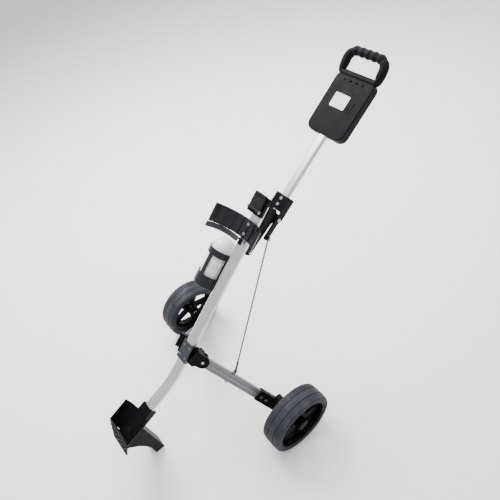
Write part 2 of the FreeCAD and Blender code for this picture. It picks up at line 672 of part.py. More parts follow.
def wheel():
    """Tyre, spoked rim, bush, hub cap and axle of one wheel."""
    place = FreeCAD.Placement(AXLE + Vector(dim("track") / 2, 0, 0), FreeCAD.Rotation())
    inner = "wheel_radius - tyre_depth"
    half = "tyre_wide / 2"
    tyre = revolved([
        ("-%s + 4" % half, inner), ("-%s" % half, "%s + 4" % inner),
        ("-%s" % half, "wheel_radius - 10"), ("-%s + 2" % half, "wheel_radius - 5"),
        ("-%s + 8" % half, "wheel_radius - 1.5"), ("-tyre_wide / 6 - 2", "wheel_radius - 0.8"),
        ("-tyre_wide / 6", "wheel_radius - 3"), ("-tyre_wide / 6 + 2", "wheel_radius"),
        ("tyre_wide / 6 - 2", "wheel_radius"), ("tyre_wide / 6", "wheel_radius - 3"),
        ("tyre_wide / 6 + 2", "wheel_radius - 0.8"), ("%s - 8" % half, "wheel_radius - 1.5"),
        ("%s - 2" % half, "wheel_radius - 5"), (half, "wheel_radius - 10"),
        (half, "%s + 4" % inner), ("%s - 4" % half, inner)])
    keep_pair(tyre, "tyre", place)
    lip = "%s - 4" % half
    barrel = revolved([
        ("-(%s)" % lip, "%s" % inner), ("-(%s)" % lip, "%s - rim_wall" % inner),
        ("%s" % lip, "%s - rim_wall" % inner), (lip, inner)])
    web = cut(round_bar("%s - rim_wall / 2" % inner, "spoke_thick", "X", x="spoke_side"),
              *rim_windows())
    hub_long = "tyre_wide - 2 * hub_inset"
    hub_bar = round_bar("hub_radius", hub_long, "X")
    bore = round_bar("axle_radius + bush_wall", "tyre_wide + 20", "X")
    keep_pair(cut(fuse(barrel, web, hub_bar), bore), "rim", place)
    bush = ring("axle_radius + bush_wall", "axle_radius + slack", hub_long, "X")
    keep_pair(bush, "wheel_bush", place)
    cap = fuse(round_bar("hub_radius - 2", "cap_thick", "X", x="%s - hub_inset + cap_thick / 2" % half),
               ring("hub_radius - 2", "hub_radius - 2 - cap_rim_wide", "cap_rim_tall", "X",
                    x="%s - cap_rim_tall" % half))
    outer = value_of(half) - 0.6 * dim("cap_rim_tall")
    cap = fillet(cap, dim("cap_rim_tall") / 2, lambda edge: edge.CenterOfMass.x > outer)
    keep_pair(cap, "hub_cap", place)
    start = boss_middle() - 26.0
    long = dim("track") / 2 + value_of(half) - 6.6 - start
    axle = round_bar("axle_radius", "%f" % long, "X", "%f" % (start + long / 2),
                     "axle_y", "wheel_radius")
    keep_pair(axle, "axle")


def rim_windows():
    """Five openings between the spokes."""
    low = "hub_radius + 7"
    high = "wheel_radius - tyre_depth - 12"
    shoulder = "0.8 * (%s)" % high
    side = "tan(36) * (%s) - spoke_wide * 0.62"
    outline_points = [(side % low, low), (side % shoulder, shoulder),
                      ("0.3 * (%s)" % high, "0.95 * (%s)" % high), ("0", high)]
    mirrored = [("-(%s)" % x, y) for x, y in reversed(outline_points[:3])]
    tools = []
    for number in range(5):
        wedge = plate(outline_points + mirrored, "60", "YZ_Plane")
        tools.append(at(wedge, FreeCAD.Placement(Vector(),
                                                 FreeCAD.Rotation(Vector(1, 0, 0), 72.0 * number))))
    return tools


# ---------------------------------------------------------------- handle
def hinge_bracket():
    """Black wedge under the spine's upper end, with the handle's hinge lug."""
    run = dim("hinge_run")
    upper = "(tube_thick / 2 + slack)"
    wedge = plate([(y, z.replace("upper", upper)) for y, z in BRACKET_OUTLINE], "tube_wide")
    lug = round_bar("lug_radius", "tube_wide", "X", z="-hinge_drop")
    bore = round_bar("pin_radius", "tube_wide + 2", "X", z="-hinge_drop")
    hollow = plate(BRACKET_HOLLOW, "tube_wide - 2 * bracket_wall")
    bracket = cut(fuse(wedge, lug), bore, hollow)
    width = "yoke_inside + 2 * yoke_wall + 1"
    pin = fuse(round_bar("pin_radius", width, "X"),
               round_bar("head_radius + 1", "head_tall", "X", x="(%s + head_tall) / 2" % width),
               round_bar("head_radius + 1", "head_tall", "X", x="-(%s + head_tall) / 2" % width))
    keep(pin, "hinge_bolt", on_spine(run=run, rise=-dim("hinge_drop")))
    places = [on_spine(side * dim("tube_wide") / 2, run - BRACKET_BOLT[0], -BRACKET_BOLT[1])
              * FreeCAD.Placement(Vector(), FreeCAD.Rotation(Vector(0, 1, 0), side * 90.0))
              for side in (-1, 1)]
    home = on_spine(run=run)
    keep(drilled(bracket, places, "5", home), "hinge_bracket", home)
    bolt_row("bracket_bolts", places, "5")


def lock():
    """Lock housing on top of the spine, with the lever that flips up on its pin."""
    foot = block("tube_wide - 4", "deck_side - 4", "deck_foot",
                 z="tube_thick / 2 + slack + deck_foot / 2")
    deck = fillet(block("deck_side", "deck_side", "deck_tall", z="tube_thick / 2 + 9.5"),
                  dim("deck_corner"), along("z"))
    rooms = [block("deck_room_wide", "deck_room_long", "deck_room_tall", y="%d" % y,
                   z="tube_thick / 2 + 7.5") for y in (-15, 15)]
    keep(fuse(foot, cut(deck, *rooms)), "lock_housing", on_spine(run=dim("hinge_run") + 24))
    lever = fillet(block("lever_wide", "lever_long", "lever_thick", y="lever_long / 2",
                         z="lever_rise"), dim("deck_corner"), along("z"))
    lip = block("lever_wide", "lever_lip", "lever_thick + 3", y="lever_long + 3",
                z="lever_rise + 1.5")
    barrel = round_bar("barrel_radius", "lever_wide", "X", z="barrel_rise")
    bore = round_bar("lever_pin_radius + slack", "lever_wide + 14", "X", z="barrel_rise")
    lever_place = on_spine(run=dim("hinge_run") + 6, rise=dim("tube_thick") / 2 + 15.8)
    keep(cut(fuse(lever, lip, barrel), bore), "lock_lever", lever_place)
    ears = [block("4", "9", "11", "%d" % (side * 25.3), z="5.2") for side in (-1, 1)]
    pin = fuse(*ears, round_bar("lever_pin_radius", "lever_wide + 6", "X", z="barrel_rise"))
    keep(pin, "lock_lever_pin", lever_place)


def yoke():
    """Fork at the foot of the handle, the upper tube it grips and the rod's pin."""
    wall_middle = "yoke_inside / 2 + yoke_wall / 2"
    cheeks = []
    for side in ("-", ""):
        x = side + "(%s)" % wall_middle
        cheeks += [round_bar("lug_radius", "yoke_wall", "X", x),
                   block("yoke_wall", "yoke_socket_end", "cheek_tall", x, "yoke_socket_end / 2",
                         "-stem_drop")]
    # the ear that pulls the rod stands on the right-hand cheek alone
    cheeks += [block("yoke_wall", "ear_run", "ear_tall", wall_middle, "-ear_run / 2",
                     "eye_offset / 2"),
               round_bar("ear_radius", "yoke_wall", "X", wall_middle, "-ear_run", "eye_offset")]
    socket = block("yoke_inside + 1", "yoke_socket_end - 24", "cheek_tall",
                   y="24 + (yoke_socket_end - 24) / 2", z="-stem_drop")
    stem = oval_bar("stem_wide + 2 * slack", "stem_thick + 2 * slack", "100", "stem_start")
    stem.Placement = STEM_DROP
    bores = [round_bar("pin_radius + slack", FAR, "X"),
             round_bar("pin_radius", FAR, "X", y="-ear_run", z="eye_offset")]
    top = dim("cheek_tall") / 2 - dim("stem_drop")
    places = [on_handle(0, run, top) for run in YOKE_BOLTS]
    body = cut(fuse(*cheeks, socket), stem, *bores)
    keep(drilled(body, places, "4", on_handle()), "handle_yoke", on_handle())
    tube = cut(oval_bar("stem_wide", "stem_thick", "stem_end - stem_start", "stem_start"),
               oval_bar("stem_wide - 2 * stem_wall", "stem_thick - 2 * stem_wall",
                        "stem_end - stem_start + 2", "stem_start - 1"))
    keep(tube, "upper_tube", on_handle(rise=-dim("stem_drop")))
    pins = fuse(round_bar("pin_radius", "17", "X", x="yoke_inside / 2 + 8.5"),
                round_bar("head_radius", "2", "X", x="yoke_inside / 2 + 18"))
    keep(pins, "link_pin_right", on_handle(0, -dim("ear_run"), dim("eye_offset")))
    bolt_row("yoke_bolts", places, "4")


def console():
    """Two-part console on the handle's tube, with its blank label and screws."""
    corner = along("z")
    mid = "console_start + console_long / 2"
    base_z = "console_top - console_lid_thick - console_base_thick / 2"
    shell = fillet(block("console_wide", "console_long", "console_base_thick", y=mid, z=base_z),
                   dim("console_corner"), corner)
    room = fillet(block("console_wide - 2 * console_wall", "console_long - 2 * console_wall",
                        "console_base_thick", y=mid, z="%s + console_wall" % base_z),
                  dim("console_corner") - dim("console_wall"), corner)
    stem = oval_bar("stem_wide + 2 * slack", "stem_thick + 2 * slack", "console_wall + 2",
                    "console_start - 1")
    stem.Placement = STEM_DROP
    under = dim("console_top") - dim("console_lid_thick") - dim("console_base_thick")
    screws = [on_handle(x, dim("console_start") + y, under)
              * FreeCAD.Placement(Vector(), FreeCAD.Rotation(Vector(1, 0, 0), 180.0))
              for x, y in CONSOLE_SCREWS]
    keep(drilled(cut(shell, room, stem), screws, "8", on_handle()), "console_base", on_handle())
    lid = fillet(block("console_wide", "console_long", "console_lid_thick", y=mid,
                       z="console_top - console_lid_thick / 2"), dim("console_corner"), corner)
    lid = fillet(lid, dim("console_round"), lambda edge: abs(edge.CenterOfMass.z - dim("console_top")) < 0.01)
    hollow = fillet(block("console_wide - 2 * console_wall", "console_long - 2 * console_wall",
                          "console_lid_thick", y=mid,
                          z="console_top - console_lid_thick / 2 - console_wall"),
                    dim("console_corner") - dim("console_wall"), corner)
    beside = "stem_wide / 2 + slack + console_rib / 2"
    ribs = [block("console_rib", "console_long", "console_lid_thick + 2", "%s(%s)" % (side, beside),
                  mid, "console_top - console_lid_thick / 2 - console_wall") for side in ("-", "")]
    hollow = cut(hollow, *ribs)
    recess = oval_bar("stem_wide + 2 * slack", "stem_thick + 2 * slack", "stem_end - console_start + 1",
                      "console_start - 1")
    recess.Placement = STEM_DROP
    slots = [block("slot_wide", "slot_long", "console_wall", "slot_side + %s" % step,
                   "console_start + label_run - 8", "console_top")
             for step in ("0", "slot_wide * 1.6")]
    holes = [round_bar("hole_radius", "console_lid_thick + 2", "Z", "%.1f * hole_step" % step,
                       "console_start + console_long - hole_step", "console_top")
             for step in (-1.5, -0.5, 0.5, 1.5)]
    keep(cut(lid, hollow, recess, *slots, *holes), "console_lid", on_handle())
    label = fillet(block("label_wide", "label_tall", "label_thick", x="-label_side",
                         y="console_start + label_run", z="console_top + label_thick / 2"),
                   4.0, corner)
    keep(label, "console_label", on_handle())
    bolt_row("console_screws", screws, "8")


def grip():
    """Loop handle beyond the console, open along its underside."""
    start = dim("console_start") + dim("console_long")
    place = on_handle(0, start - 12.0, -4.0, dim("grip_tilt"))
    outer = fillet(block("grip_wide", "grip_long", "grip_thick", y="grip_long / 2"),
                   dim("grip_corner"), along("z"))
    window_wide = "grip_wide - 2 * grip_bar"
    window_long = "grip_long - 2 * grip_bar + grip_neck"
    window_mid = "(grip_long - grip_neck) / 2"
    inner = fillet(block(window_wide, window_long, "grip_thick + 2", y=window_mid),
                   dim("grip_window_corner"), along("z"))
    loop = cut(outer, inner)
    top = dim("grip_thick") / 2
    loop = fillet(loop, 8.0, lambda edge: abs(edge.CenterOfMass.z - top) < 0.01)
    loop = fillet(loop, 3.0, lambda edge: abs(edge.CenterOfMass.z + top) < 0.01)
    # the moulding is open along its underside
    deep = "grip_thick - grip_roof + 1"
    low = "-(grip_roof + 1) / 2"
    groove = fillet(block("grip_wide - 2 * grip_wall", "grip_long - 2 * grip_wall", deep,
                          y="grip_long / 2", z=low),
                    dim("grip_corner") - dim("grip_wall"), along("z"))
    core = fillet(block(window_wide + " + 2 * grip_wall", window_long + " + 2 * grip_wall",
                        deep + " + 2", y=window_mid, z=low),
                  dim("grip_window_corner") + dim("grip_wall"), along("z"))
    console_room = block("console_wide + 2 * slack", "console_long + 2 * slack",
                         "console_lid_thick + console_base_thick + 2 * slack",
                         y="console_start + console_long / 2",
                         z="console_top - (console_lid_thick + console_base_thick) / 2")
    console_room = at(console_room, place.inverse() * on_handle())
    keep(cut(loop, cut(groove, core), console_room), "grip_loop", place)


# ---------------------------------------------------------------- cradle, strap, bottle
def cradle():
    """Ribbed trough across the spine that the bag lies in."""
    place = on_spine(run=dim("cradle_run") + dim("cradle_long") / 2,
                     rise=dim("tube_thick") / 2 + dim("slack") + dim("cradle_lift") + dim("cradle_wall"))
    shell = trough("cradle_radius", "cradle_wall", "cradle_half_angle", "cradle_long")
    ribs = []
    count = int(dim("rib_count"))
    first = dim("rib_margin") - dim("cradle_half_angle")
    for number in range(count):
        angle = first - 2 * first * number / (count - 1)
        rib = block("rib_wide", "cradle_long", "rib_tall + 1", z="rib_tall / 2 - 0.5")
        ribs.append(at(rib, about_trough(dim("cradle_radius"), angle)))
    foot = block("tube_wide - 2", "cradle_long - 10", "6", z="-cradle_wall - 1")
    tips = []
    half = math.radians(dim("cradle_half_angle"))
    middle = dim("cradle_radius") + dim("cradle_wall") / 2
    for side in (-1, 1):
        tips.append(round_bar("tip_radius", "cradle_long", "Y",
                              "%f" % (side * middle * math.sin(half)), "0",
                              "%f" % (dim("cradle_radius") - middle * math.cos(half))))
    places = [on_spine(0, dim("cradle_run") + run, dim("tube_thick") / 2 + 9.5)
              for run in CRADLE_BOLTS]
    keep(drilled(fuse(shell, foot, *ribs, *tips), places, "6", place), "upper_cradle", place)
    bolt_row("cradle_bolts", places, "6")


def strap():
    """Strap from the cradle's left tip to the hook beside the lock."""
    under = [(x + STRAP_SLANT, z - dim("strap_thick")) for x, z in reversed(STRAP_ROUTE)]
    band = plate([("%f" % x, "%f" % z) for x, z in STRAP_ROUTE + under], "strap_wide", "XZ_Plane")
    keep(band, "cradle_strap", on_spine(run=dim("cradle_run") - 11.0,
                                        rise=dim("tube_thick") / 2 + 26.0))
    hook = fuse(block("14", "20", "5"), block("14", "4", "12", y="8", z="4"))
    keep(hook, "strap_hook", on_spine(4.0, dim("cradle_run") - 12.0, dim("tube_thick") / 2 + 14.5))


def bottle_and_cage():
    """Bottle with its domed cap, and the cage screwed to the left of the spine."""
    place = on_spine(-dim("bottle_side"), dim("bottle_run"), -dim("bottle_drop"))
    inner = "bottle_radius + cage_clearance"
    outer = "bottle_radius + cage_clearance + cage_wall"
    band = round_bar(outer, "cage_band_tall", "Y", y="cage_band_run")
    cup = round_bar(outer, "cage_cup_tall", "Y", y="cage_cup_run")
    arms = [block("cage_arm_wide", "cage_arm_long", "cage_wall", "0", "cage_arm_run",
                  "%s(%s + cage_wall / 2)" % (side, inner)) for side in ("-", "")]
    far_arm = block("cage_wall", "cage_arm_long", "cage_arm_wide - 2",
                    "-(%s + cage_wall / 2)" % inner, "cage_arm_run", "0")
    back_x = "bottle_side - tube_wide / 2 - gap - cage_plate_thick / 2"
    back = block("cage_plate_thick", "136", "tube_thick - 4", back_x, "62", "bottle_drop")
    reach = "(%s) - (%s)" % (back_x, inner)
    brackets = [block("%s + 4" % reach, "18", "14 + bottle_drop",
                      "(%s) + (%s) / 2" % (inner, reach), y, "bottle_drop / 2")
                for y in ("cage_band_run", "cage_cup_run - 2")]
    cage = cut(fuse(band, cup, *arms, far_arm, back, *brackets),
               round_bar(inner, "150", "Y", y="75 - gap"),
               round_bar("bottle_radius - 14", "30", "Y", y="-6"))
    places = [on_spine(-dim("tube_wide") / 2 - dim("gap") - dim("cage_plate_thick"),
                       dim("bottle_run") + y, 0.0)
              * FreeCAD.Placement(Vector(), FreeCAD.Rotation(Vector(0, 1, 0), -90.0))
              for y in CAGE_SCREWS]
    keep(drilled(cage, places, "4.2", place), "bottle_cage", place)
    bolt_row("cage_screws", places, "4.2", "bolt_radius + 1.2")
    shoulder = "bottle_long - bottle_radius"
    flask = cut(round_bar("bottle_radius", shoulder, "Y", y="(%s) / 2" % shoulder),
                round_bar("bottle_radius - bottle_wall", shoulder, "Y",
                          y="(%s) / 2 + bottle_wall" % shoulder))
    keep(flask, "bottle", place)
    below = "(%s) - bottle_radius" % shoulder
    cap = cut(dome("bottle_radius", y=shoulder),
              block("3 * bottle_radius", "2 * bottle_radius", "3 * bottle_radius", y=below))
    lip = round_bar("bottle_radius - bottle_wall - slack", "cap_lip", "Y",
                    y="(%s) - cap_lip / 2 + 2 * slack" % shoulder)
    cap = cut(fuse(cap, lip), dome("bottle_radius - cap_wall", y=shoulder))
    keep(cap, "bottle_cap", place)


# ---------------------------------------------------------------- link rods
def link_ends():
    """Centre of the upper eye and of the lower ball of the right-hand link rod."""
    upper = on_handle(dim("link_side"), -dim("ear_run"), dim("eye_offset")).Base
    clear = 2.0 + dim("gap") * 2 + 4.5
    lower = LEG.multVec(Vector(clear, dim("link_eye_run"), dim("leg_wide") / 2 + 9.0))
    return upper, lower


def link_axis(upper, lower):
    """Axis of the rod's eye: nearest to X, and square to the way the rod turns in the handle."""
    across = Vector(1, 0, 0)
    leg_turn = FreeCAD.Rotation(LEG.Rotation.multVec(across), dim("leg_fold"))
    handle_turn = FreeCAD.Rotation(across, -dim("handle_fold"))
    low_end = LEG.Base + leg_turn.multVec(lower - LEG.Base)
    high_end = HINGE + handle_turn.multVec(upper - HINGE)
    folded = handle_turn.inverted().multVec(low_end - high_end)
    folded.normalize()
    change = folded * (lower - upper).Length - (lower - upper)
    axis = across - change * (across.dot(change) / change.dot(change))
    return axis.normalize()


def link_rod():
    """Pull rod from the handle's ear to the right-hand leg."""
    upper, lower = link_ends()
    down = lower - upper
    long = down.Length
    down.normalize()
    wire = round_bar("link_radius", "%f" % (long - 6.0), "Y", y="%f" % ((long + 6.0) / 2))
    ferrule = round_bar("link_radius + 1.3", "40", "Y", y="%f" % (long - 26.0))
    ball = dome("4.5", y="%f" % long)
    wire_place = FreeCAD.Placement(upper, FreeCAD.Rotation(Vector(0, 1, 0), down))
    eye_place = FreeCAD.Placement(upper, FreeCAD.Rotation(Vector(1, 0, 0), link_axis(upper, lower)))
    eye = at(ring("8", "pin_radius + gap", "5", "X"), eye_place)
    hole = at(round_bar("pin_radius + gap", "9", "X"), eye_place)
    keep(cut(fuse(at(fuse(wire, ferrule, ball), wire_place), eye), hole), "link_rod_right")
    shank = "leg_wide + 8"
    stud = fuse(round_bar("bolt_radius", shank, "Z", y="link_eye_run", z="-1"),
                round_bar("head_radius", "5", "Z", y="link_eye_run", z="-leg_wide / 2 - 2.5"),
                block("4", "12", "16", y="link_eye_run", z="leg_wide / 2 + 8.3"))
    keep(stud, "link_stud_right", LEG)


def main():
    main_tube()
    tube_plugs()
    lower_rest()
    stand_pad()
    hub()
    leg_block()
    leg()
    wheel_carrier()
    wheel()
    hinge_bracket()
    lock()
    yoke()
    console()
    grip()
    cradle()
    strap()
    bottle_and_cage()
    link_rod()


main()
doc.recompute()
faults = []
for item in doc.Objects:
    if "Invalid" in item.State or "Error" in item.State:
        faults.append("%s %s" % (item.Name, item.State))
for label, solid in nodes.items():
    if solid.Shape.isNull() or not solid.Shape.isValid():
        faults.append("%s has no sound shape" % label)
if faults:
    raise RuntimeError("; ".join(faults))

os.makedirs("parts", exist_ok=True)
for label, solid in nodes.items():
    solid.Shape.exportStep(os.path.join("parts", label + ".step"))
print("%d sub-parts written" % len(nodes))
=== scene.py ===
import json
import math

import bpy
from mathutils import Matrix, Vector


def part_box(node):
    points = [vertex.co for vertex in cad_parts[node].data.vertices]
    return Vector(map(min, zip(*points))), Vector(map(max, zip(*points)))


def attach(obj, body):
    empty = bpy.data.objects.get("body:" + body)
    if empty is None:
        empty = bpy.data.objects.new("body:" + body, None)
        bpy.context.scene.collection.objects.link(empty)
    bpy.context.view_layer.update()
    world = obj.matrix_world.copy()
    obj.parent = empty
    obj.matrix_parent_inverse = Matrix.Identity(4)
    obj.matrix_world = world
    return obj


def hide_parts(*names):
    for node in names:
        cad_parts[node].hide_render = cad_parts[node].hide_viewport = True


bl_info = {
    "name": "Folding pull cart",
    "version": (1, 0, 0),
    "blender": (4, 5, 0),
    "location": "View3D > Sidebar > Pull Cart",
    "description": "Finishes and detailed pieces of a folding two-wheel pull cart",
    "category": "Object",
}

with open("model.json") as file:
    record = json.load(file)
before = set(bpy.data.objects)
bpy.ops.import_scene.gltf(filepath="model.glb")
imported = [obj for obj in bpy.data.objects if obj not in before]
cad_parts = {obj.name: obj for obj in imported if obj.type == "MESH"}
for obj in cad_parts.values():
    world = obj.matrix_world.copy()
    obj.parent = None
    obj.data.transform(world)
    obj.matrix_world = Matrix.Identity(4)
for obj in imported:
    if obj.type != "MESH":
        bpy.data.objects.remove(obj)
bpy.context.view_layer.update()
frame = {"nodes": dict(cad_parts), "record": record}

# Where the cart's own directions lie: everything hangs from the wheels' common centre.
LOW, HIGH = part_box("tyre_right")
WHEEL_CENTRE = (LOW + HIGH) / 2
WHEEL_RADIUS = (HIGH.z - LOW.z) / 2
TYRE_WIDTH = HIGH.x - LOW.x
SPINE_ANGLE = math.radians(43.0)
END_ANGLE = math.radians(22.5)
HANDLE_ANGLE = math.radians(36.2)
APRON_TILT = math.radians(-17.0)
GRIP_TILT = math.radians(13.0)
BEND = Vector((0.0, WHEEL_CENTRE.y - 0.2608, 0.3019))
HINGE_RUN = 0.672
HINGE_DROP = 0.066
END_RUN = 0.150

# Routes and outlines that only one piece uses, in metres.
STRAP_ROUTE = [(-0.0945, 0.062), (-0.0935, 0.048), (-0.0905, 0.034), (-0.084, 0.019),
               (-0.074, 0.0065), (-0.060, -0.0025), (-0.044, -0.0078), (-0.026, -0.0095),
               (-0.009, -0.0098)]
BOTTLE_FOOT = (-0.072, 0.366, -0.009)
BOTTLE_BANDS = (0.030, 0.062, 0.094)
LAMPS = (("key", (-1.9, 0.2, 2.8), 1.6, 165.0),
         ("top", (0.2, 0.4, 3.6), 2.6, 90.0),
         ("back", (-1.2, 2.4, 2.2), 1.4, 45.0))


def tilted(angle, x, run, rise):
    """Offset x across, run up a line tilted by angle from level, and rise square to it."""
    return Vector((x, run * math.cos(angle) - rise * math.sin(angle),
                   run * math.sin(angle) + rise * math.cos(angle)))


def on_spine(x, run, rise):
    """Point in the spine tube's own directions, measured from the tube's bend."""
    return BEND + tilted(SPINE_ANGLE, x, run, rise)


def on_end(x, run, rise):
    """Point in the directions of the tube's lower end, run counted up from its open mouth."""
    return BEND + tilted(END_ANGLE, x, run - END_RUN, rise)


HINGE = on_spine(0.0, HINGE_RUN, -HINGE_DROP)
UP_SPINE = tilted(SPINE_ANGLE, 0.0, 1.0, 0.0)
UP_END = tilted(END_ANGLE, 0.0, 1.0, 0.0)


def on_handle(x, run, rise):
    """Point in the handle's own directions, measured from its hinge."""
    return HINGE + tilted(HANDLE_ANGLE, x, run, rise)


# ---------------------------------------------------------------- sizes and colours
class CartSizes(bpy.types.PropertyGroup):
    """Sizes of the detailed pieces."""
    tyre_depth: bpy.props.FloatProperty(
        name="Tyre depth", description="Tread down to the rim", default=0.024, unit="LENGTH")
    tread_grooves: bpy.props.IntProperty(
        name="Tread grooves", description="Fine grooves round each half of the tread", default=5)
    groove_depth: bpy.props.FloatProperty(
        name="Groove depth", description="Depth of a fine tread groove",
        default=0.0004, unit="LENGTH")
    grip_radius: bpy.props.FloatProperty(
        name="Grip radius", description="Half the thickness of the handle loop",
        default=0.0150, unit="LENGTH")
    grip_wave: bpy.props.FloatProperty(
        name="Finger wave", description="Share by which the finger swells thicken the loop",
        default=0.09)
    strap_width: bpy.props.FloatProperty(
        name="Strap width", description="Width of the cradle's webbing", default=0.018,
        unit="LENGTH")
    strap_thickness: bpy.props.FloatProperty(
        name="Strap thickness", description="Thickness of the cradle's webbing", default=0.0016,
        unit="LENGTH")


    strap_run: bpy.props.FloatProperty(
        name="Strap place", description="Height of the webbing's middle up the spine",
        default=0.567, unit="LENGTH")
    strap_rise: bpy.props.FloatProperty(
        name="Strap rise", description="Webbing's fixing above the spine's centre line",
        default=0.035, unit="LENGTH")
    bottle_radius: bpy.props.FloatProperty(
        name="Bottle radius", description="Outside of the bottle and of its dome",
        default=0.040, unit="LENGTH")
    bottle_wall: bpy.props.FloatProperty(
        name="Bottle wall", description="Thickness of the bottle's side", default=0.002,
        unit="LENGTH")
    dome_wall: bpy.props.FloatProperty(
        name="Dome wall", description="Thickness of the cap's dome", default=0.003, unit="LENGTH")
    shoulder: bpy.props.FloatProperty(
        name="Shoulder", description="Length of the bottle below its cap", default=0.132,
        unit="LENGTH")
    web_radius: bpy.props.FloatProperty(
        name="Web radius", description="Lower rest's web, from the trough's centre line",
        default=0.0665, unit="LENGTH")
    web_length: bpy.props.FloatProperty(
        name="Web length", description="Lower rest's web, along the tube", default=0.094,
        unit="LENGTH")
    web_thickness: bpy.props.FloatProperty(
        name="Web thickness", description="Thickness of the lower rest's web", default=0.0016,
        unit="LENGTH")
    rib_radius: bpy.props.FloatProperty(
        name="Rib radius", description="Half the width of a rib on the lower rest",
        default=0.0016, unit="LENGTH")
    rib_step: bpy.props.FloatProperty(
        name="Rib step", description="Distance between ribs across the lower rest",
        default=0.024, unit="LENGTH")


class CartColours(bpy.types.PropertyGroup):
    """Colours of the finishes."""
    silver: bpy.props.FloatVectorProperty(
        name="Silver tube", description="Anodised main tube", subtype="COLOR",
        default=(0.80, 0.81, 0.83))
    stem: bpy.props.FloatVectorProperty(
        name="Handle tube", description="Slightly warmer upper tube", subtype="COLOR",
        default=(0.74, 0.73, 0.70))
    leg: bpy.props.FloatVectorProperty(
        name="Leg alloy", description="Grooved grey legs", subtype="COLOR",
        default=(0.20, 0.205, 0.22))
    black: bpy.props.FloatVectorProperty(
        name="Black plastic", description="Moulded brackets, base and console", subtype="COLOR",
        default=(0.003, 0.003, 0.004))
    satin: bpy.props.FloatVectorProperty(
        name="Satin plastic", description="Cradle and bottle cage", subtype="COLOR",
        default=(0.006, 0.007, 0.011))
    # on the lower rest's ribs this lighter grey is a painted highlight for the glints along them
    grey: bpy.props.FloatVectorProperty(
        name="Grey plastic", description="Lock lever and the lower rest's ribs", subtype="COLOR",
        default=(0.014, 0.014, 0.016))
    tyre: bpy.props.FloatVectorProperty(
        name="Tyre", description="Foamed tyre rubber", subtype="COLOR",
        default=(0.017, 0.019, 0.027))
    milky: bpy.props.FloatVectorProperty(
        name="Milky plastic", description="Bottle and blank label", subtype="COLOR",
        default=(0.80, 0.83, 0.86))


class CartStage(bpy.types.PropertyGroup):
    """View and light."""
    azimuth: bpy.props.FloatProperty(
        name="Azimuth", description="Turn of the view about the vertical", subtype="ANGLE",
        default=math.radians(60.2))
    elevation: bpy.props.FloatProperty(
        name="Elevation", description="Height of the view above level", subtype="ANGLE",
        default=math.radians(48.3))
    roll: bpy.props.FloatProperty(
        name="Roll", description="Turn of the view about its own line", subtype="ANGLE",
        default=math.radians(-13.4))
    distance: bpy.props.FloatProperty(
        name="Distance", description="Camera to the middle of the cart", default=1.5425,
        unit="LENGTH")
    sky: bpy.props.FloatProperty(
        name="Sky", description="Strength of the even light from all round", default=0.85)
    lens: bpy.props.FloatProperty(
        name="Lens", description="Focal length on a 36 mm sensor, in millimetres", default=33.955)


# ---------------------------------------------------------------- material nodes
def new_material(name, colour, roughness, metallic=0.0, shine=0.5):
    """Material with its shader's constants set, its tree and its shader."""
    material = bpy.data.materials.new(name)
    material.use_nodes = True
    shader = material.node_tree.nodes["Principled BSDF"]
    shader.inputs["Base Color"].default_value = (*colour, 1.0)
    shader.inputs["Roughness"].default_value = roughness
    shader.inputs["Metallic"].default_value = metallic
    shader.inputs["Specular IOR Level"].default_value = shine
    material.diffuse_color = (*colour, 1.0)
    return material, material.node_tree, shader


def grain_space(tree, scale=(1.0, 1.0, 1.0), angle=0.0, place=(0.0, 0.0, 0.0), source="Object"):
    """Coordinates for a pattern, turned about X and stretched to the given cell size in metres."""
    coordinates = tree.nodes.new("ShaderNodeTexCoord")
    mapping = tree.nodes.new("ShaderNodeMapping")
    mapping.vector_type = "TEXTURE"
    mapping.inputs["Location"].default_value = place
    mapping.inputs["Rotation"].default_value = (angle, 0.0, 0.0)
    mapping.inputs["Scale"].default_value = scale
    tree.links.new(coordinates.outputs[source], mapping.inputs["Vector"])
    return mapping.outputs["Vector"]


def noise(tree, space, scale, detail=4.0, roughness=0.55):
    """Soft noise pattern, from 0 to 1."""
    node = tree.nodes.new("ShaderNodeTexNoise")
    node.inputs["Scale"].default_value = scale
    node.inputs["Detail"].default_value = detail
    node.inputs["Roughness"].default_value = roughness
    tree.links.new(space, node.inputs["Vector"])
    return node.outputs["Fac"]


def remap(tree, value, low_in, high_in, low_out, high_out):
    """Value stretched from one range to another and held inside it."""
    node = tree.nodes.new("ShaderNodeMapRange")
    for socket, number in zip(("From Min", "From Max", "To Min", "To Max"),
                              (low_in, high_in, low_out, high_out)):
        node.inputs[socket].default_value = number
    tree.links.new(value, node.inputs["Value"])
    return node.outputs["Result"]


def arithmetic(tree, operation, first, second):
    """Sum, product or other of two values; each is a socket or a number."""
    node = tree.nodes.new("ShaderNodeMath")
    node.operation = operation
    for socket, value in zip(node.inputs, (first, second)):
        if isinstance(value, (int, float)):
            socket.default_value = value
        else:
            tree.links.new(value, socket)
    return node.outputs["Value"]


def blend_colours(tree, share, first, second):
    """Mixture of two colours; each is a socket or a triple."""
    node = tree.nodes.new("ShaderNodeMix")
    node.data_type = "RGBA"
    tree.links.new(share, node.inputs["Factor"])
    for socket, colour in ((node.inputs[6], first), (node.inputs[7], second)):
        if isinstance(colour, tuple):
            socket.default_value = (*colour, 1.0)
        else:
            tree.links.new(colour, socket)
    return node.outputs[2]


def add_bump(tree, shader, height, depth, strength=1.0):
    """Relief of the given depth in metres."""
    node = tree.nodes.new("ShaderNodeBump")
    node.inputs["Strength"].default_value = strength
    node.inputs["Distance"].default_value = depth
    tree.links.new(height, node.inputs["Height"])
    tree.links.new(node.outputs["Normal"], shader.inputs["Normal"])


def shade(colour, factor):
    """Colour made lighter or darker by a factor."""
    return tuple(min(1.0, channel * factor) for channel in colour)


